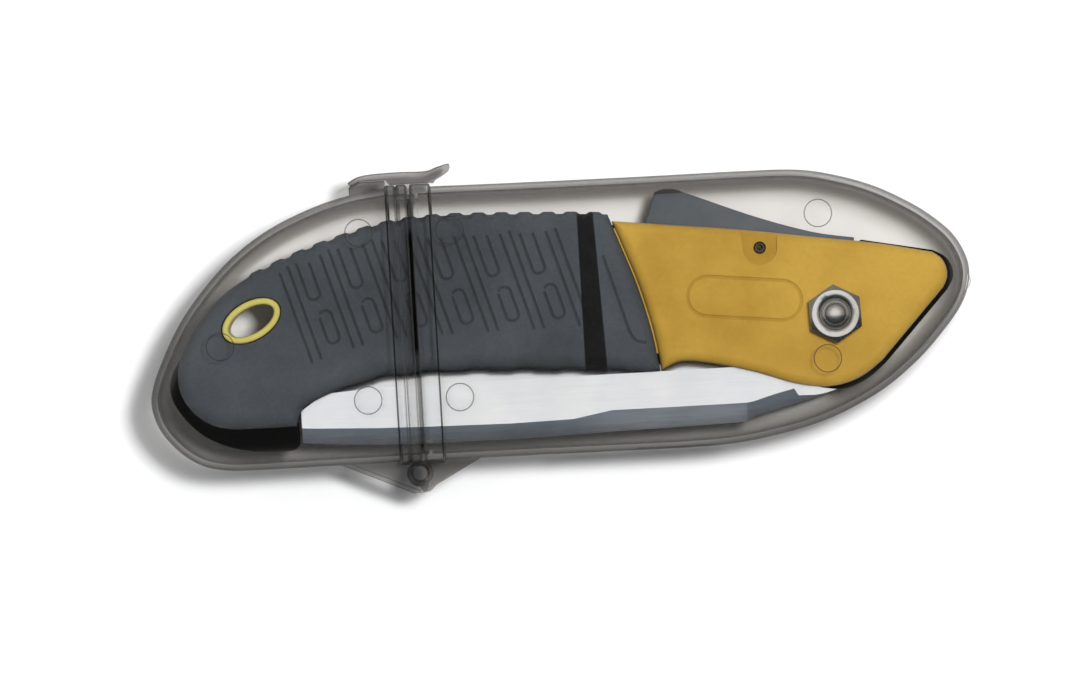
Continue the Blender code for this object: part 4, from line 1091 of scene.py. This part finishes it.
def scale(side):
    name = side_name(side) + "_scale"
    rings = side_rings(side, lines(SCALE_RUNS), SCALE_LOW, SCALE_HIGH, SCALE_EDGE, 8)
    made = solid(name + "_fine", rings)
    join(made, flat(ring(lines(CORE_RUNS)), *on_side(side, SCALE_LOW, CORE_HIGH)))
    far = SCALE_HIGH + CUT_FAR
    cut_side(made, side, 0, far, circle(PIVOT, BOLT_HOLE), lever_pin_hole())
    cut_side(made, side, SCALE_HIGH - RECESS_DEPTH, far, lever_recess())
    cut_side(made, side, 0, far, eyelet_hole(FIT))
    outer, inner = (stadium(PLAQUE, *size, PLAQUE_TILT) for size in (PLAQUE_OUTER, PLAQUE_INNER))
    groove = solid("groove", flat(outer, *on_side(side, SCALE_HIGH - PLAQUE_DEPTH, far)))
    cut_side(groove, side, SCALE_HIGH - CUT_FAR, far + CUT_FAR, inner)
    combine(made, groove, "DIFFERENCE")
    if side < 0:
        head = circle(SCREWS["front"], SCREW_HEAD_RADIUS, SMALL_ROUND)
        cut_side(made, side, SCREW_SEAT, far, head)
    dress(made, "knife", name, yellow)
    # Painted shade: the plaque's groove and the floor of the lever recess get the darker yellow.
    recolour(made, side, SCALE_HIGH, 0.3 * MM, RECESS_DEPTH + 0.1 * MM, 0.9, yellow_shade)


def liner(side):
    name = side_name(side) + "_liner"
    rings = side_rings(side, lines(LINER_RUNS), LINER_LOW, LINER_HIGH, LINER_EDGE, 2)
    made = solid(name + "_fine", rings)
    holes = [circle(PIVOT, BOLT_HOLE), lever_pin_hole(), circle(STOP_PIN, STOP_PIN_HOLE)]
    holes += [eyelet_hole(FIT), *map(screw_hole, SCREWS)]
    cut_side(made, side, 0, LINER_HIGH + 0.1 * MM, *holes)
    dress(made, "knife", name, black)


def rear_spacer():
    rings = rounded(lines(SPACER_RUNS), -SPACER_HALF, SPACER_HALF, SPACER_EDGE, SPACER_EDGE, 3)
    made = solid("rear_spacer_fine", rings)
    for hole in (eyelet_hole(FIT), screw_hole("rear"), screw_hole("middle")):
        cut(made, hole, -5 * MM, 5 * MM)
    dress(made, "knife", "rear_spacer", black)


def lanyard_eyelet():
    """An oval tube with rolled ends, wider outside and narrower inside at each."""
    half = GRIP_HIGH + EYELET_PROUD
    profile = [(-inward, half - back) for inward, back in quarter(EYELET_ROLL, 6)]
    outer = [(grown, -z) for grown, z in profile] + [(grown, z) for grown, z in profile[::-1]]
    inner = [(-EYELET_WALL - grown, -z - 0.01 * MM) for grown, z in profile]
    inner += [(-EYELET_WALL - grown, z + 0.01 * MM) for grown, z in profile[::-1]]
    outer, inner = (
        [[(p.x, p.y, z) for p in eyelet_hole(grown)] for grown, z in places]
        for places in (outer, inner)
    )
    made = solid("lanyard_eyelet_fine", outer)
    carve(made, inner)
    dress(made, "knife", "lanyard_eyelet", eyelet_yellow)


# ---- pivot of the blade


def hex_body(name, low, high, chamfered_high):
    """A hexagonal head or nut with the corners of one end turned off."""
    corner = NUT_ACROSS_FLATS / 2 / cos(pi / 6)
    made = solid(name, flat(circle(PIVOT, corner, 6, pi / 2 + HEX_LEAN), low, high))
    soften(made, 0.12 * MM)
    shape_now(made)
    wide = corner + 0.1 * MM
    face = 0.93 * NUT_ACROSS_FLATS / 2
    drop = (wide - face) * tan(radians(30))
    far, end_z, up = (low - CUT_FAR, high, 1) if chamfered_high else (high + CUT_FAR, low, -1)
    profile = [
        (wide, far), (wide, end_z - up * drop),
        (face, end_z - up * 0.06 * MM), (face - 0.15 * MM, end_z),
    ]
    return combine(made, solid("chamfer", turned(PIVOT, profile[::up], 96)), "INTERSECT")


def pivot_nut():
    made = hex_body("pivot_nut_fine", NUT_LOW, NUT_HIGH, True)
    bore = [
        (NUT_BORE, NUT_LOW - 1 * MM), (NUT_BORE, NUT_HIGH - 0.5 * MM),
        (NUT_BORE + 0.95 * MM, NUT_HIGH + 0.03 * MM),
    ]
    carve(made, turned(PIVOT, bore))
    dress(made, "knife", "pivot_nut", zinc)


def pivot_bolt():
    made = hex_body("pivot_bolt_fine", -NUT_LOW - 5 * MM, -NUT_LOW, False)
    shoulder, dome = NUT_HIGH - 0.5 * MM, 2.95 * MM
    profile = [
        (BOLT_RADIUS, -NUT_LOW - 1 * MM), (BOLT_RADIUS, shoulder - 0.55 * MM),
        (BOLT_RADIUS - 0.12 * MM, shoulder - 0.42 * MM), (dome + 0.2 * MM, shoulder - 0.05 * MM),
        (dome, shoulder),
    ]
    for k in range(12):
        turn = radians(82 * k / 11)
        profile.append((dome * cos(turn), shoulder + (BOLT_DOME + 0.3 * MM) * sin(turn)))
    join(made, turned(PIVOT, profile))
    dress(made, "knife", "pivot_bolt", zinc)


# ---- blade, lever and pin


def blade():
    """A plate with a bevel along its spine and a ground edge, and a round tang."""
    full, back, edge = BLADE_THICKNESS / 2, SPINE_THICKNESS / 2, EDGE_THICKNESS / 2
    start = BLADE_SECTIONS[0][0]
    rings = []
    for x, spine, bevel in BLADE_SECTIONS:
        reach = min(1.0, (x - start) / BLADE_TIP_CURVE)
        top = BLADE_TIP_TOP_Y + (BLADE_EDGE_Y - BLADE_TIP_TOP_Y) * sin(pi / 2 * reach)
        place, bevel_y, edge_y = at(x, spine), at(x, bevel).y, at(x, top).y
        grind_y = max(edge_y - GRIND_WIDTH, (bevel_y + edge_y) / 2)
        section_points = [
            (place.y, -back), (place.y, back), (bevel_y, full), (grind_y, full),
            (edge_y, edge), (edge_y, -edge), (grind_y, -full), (bevel_y, -full),
        ]
        rings.append([(place.x, y, z) for y, z in section_points])
    made = solid("blade_fine", rings)
    join(made, flat(ring(lines(TANG_RUNS)), -full, full))
    cut(made, circle(PIVOT, SLEEVE_RADIUS + PIN_FIT), -10 * MM, 10 * MM)
    dress(made, "blade", "blade", steel, 4)


def lock_lever():
    sizes = -LEVER_HALF, LEVER_HALF, LEVER_EDGE, LEVER_EDGE, 4
    made = solid("lock_lever_fine", rounded(lines(LEVER_RUNS), *sizes, spacing=0.5 * MM))
    cut(made, lever_pin_hole(), -10 * MM, 10 * MM)
    dress(made, "lever", "lock_lever", lever_grey)


def lever_pin():
    half = SCALE_HIGH - RECESS_DEPTH + 0.2 * MM
    made = pin("lever_pin_fine", LEVER_PIN, LEVER_PIN_RADIUS, half, PIN_CHAMFER, 48)
    cut(made, circle(LEVER_PIN, LEVER_PIN_BORE, 32), -20 * MM, 20 * MM)
    dress(made, "knife", "lever_pin", pin_bronze)


def lever_spring():
    """The leaf under the lever, as one piece fixed in place."""
    path = smooth([at(*point) for point in SPRING_RUN], 12)
    half = LEVER_HALF - 0.2 * MM
    made = solid("lever_spring_fine", flat(strip(path, SPRING_THICKNESS), -half, half))
    made.data.materials.append(steel)
    soften(made, 0.15 * MM)
    shape_now(made)
    tidy_shading(made, 32)
    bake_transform(made)
    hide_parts("lever_spring")


# ---- light, floor and camera


def sky():
    """Even studio light from above, darker low down and towards -Y."""
    world = bpy.data.worlds.new("studio")
    scene.world = world
    world.use_nodes = True
    tree = world.node_tree
    tree.nodes.clear()
    place = add(tree, "SeparateXYZ", {0: add(tree, "TexCoord").outputs["Generated"]})
    height = ramp(tree, place.outputs["Z"], [(0.0, 0.14), (0.6, 0.34), (0.88, 0.7), (0.96, 1.0)])
    lean = add(tree, "MapRange", {0: place.outputs["Y"], 1: -0.23, 2: -0.09}).outputs[0]
    shade = ramp(tree, lean, [(0.0, (0.10, 0.125, 0.155)), (1.0, (1.0, 1.0, 1.0))])
    light = mixed(tree, 1.0, height, shade, "MULTIPLY")
    surface = add(tree, "Background", {"Color": light, "Strength": 1.05})
    add(tree, "OutputWorld", {"Surface": surface.outputs[0]})


def lamp(name, place, aim, size, power):
    data = bpy.data.lights.new(name, "AREA")
    data.size = size
    data.energy = power
    made = placed(name, data)
    made.location = place
    made.rotation_mode = "QUATERNION"
    made.rotation_quaternion = (Vector(aim) - Vector(place)).to_track_quat("-Z", "Y")
    made.visible_glossy = False


def floor():
    mesh = bmesh.new()
    reach = 3.0
    corners = [mesh.verts.new((x, y, -0.02 * MM)) for x, y in (
        (-reach, -reach), (reach, -reach), (reach, reach), (-reach, reach),
    )]
    mesh.faces.new(corners)
    made = new_object("floor", mesh)
    paper, tree, coords = new_material("paper")
    speck = noise(tree, coords, 90.0, 3.0)
    colour = ramp(tree, speck, [(0.3, (0.86, 0.86, 0.86)), (0.7, (0.88, 0.88, 0.88))])
    end(tree, add(tree, "BsdfDiffuse", {"Color": colour}))
    made.data.materials.append(paper)


def camera():
    data = bpy.data.cameras.new("camera")
    made = placed("camera", data)
    data.sensor_width = 36.0
    data.lens = data.sensor_width * CAMERA_DISTANCE / VIEW_WIDTH
    data.clip_end = 20.0
    made.location = (*CAMERA_AIM, MIDDLE + CAMERA_DISTANCE)
    made.rotation_euler = (0.0, 0.0, CAMERA_TURN)
    scene.camera = made


case_body()
case_cap()
latch_tongue()
hinge_pin()
for side in (1, -1):
    grip(side)
    scale(side)
    liner(side)
rear_spacer()
lanyard_eyelet()
pivot_nut()
pivot_bolt()
blade()
lock_lever()
lever_pin()
lever_spring()
for node, finish in (
    ("stop_pin", steel), ("pivot_sleeve", brass), ("near_washer", brass),
    ("far_washer", brass), ("scale_screw_rear", zinc), ("scale_screw_middle", zinc),
    ("scale_screw_front", zinc),
):
    shown = frame["nodes"][node]
    for slot in shown.material_slots:
        slot.material = finish

sky()
lamp("key", (0.16, 0.10, 1.0), (0.0, 0.0, 0.0), 0.13, 10.0)
floor()
camera()
scene.view_settings.view_transform = "Standard"
scene.cycles.transparent_max_bounces = 32
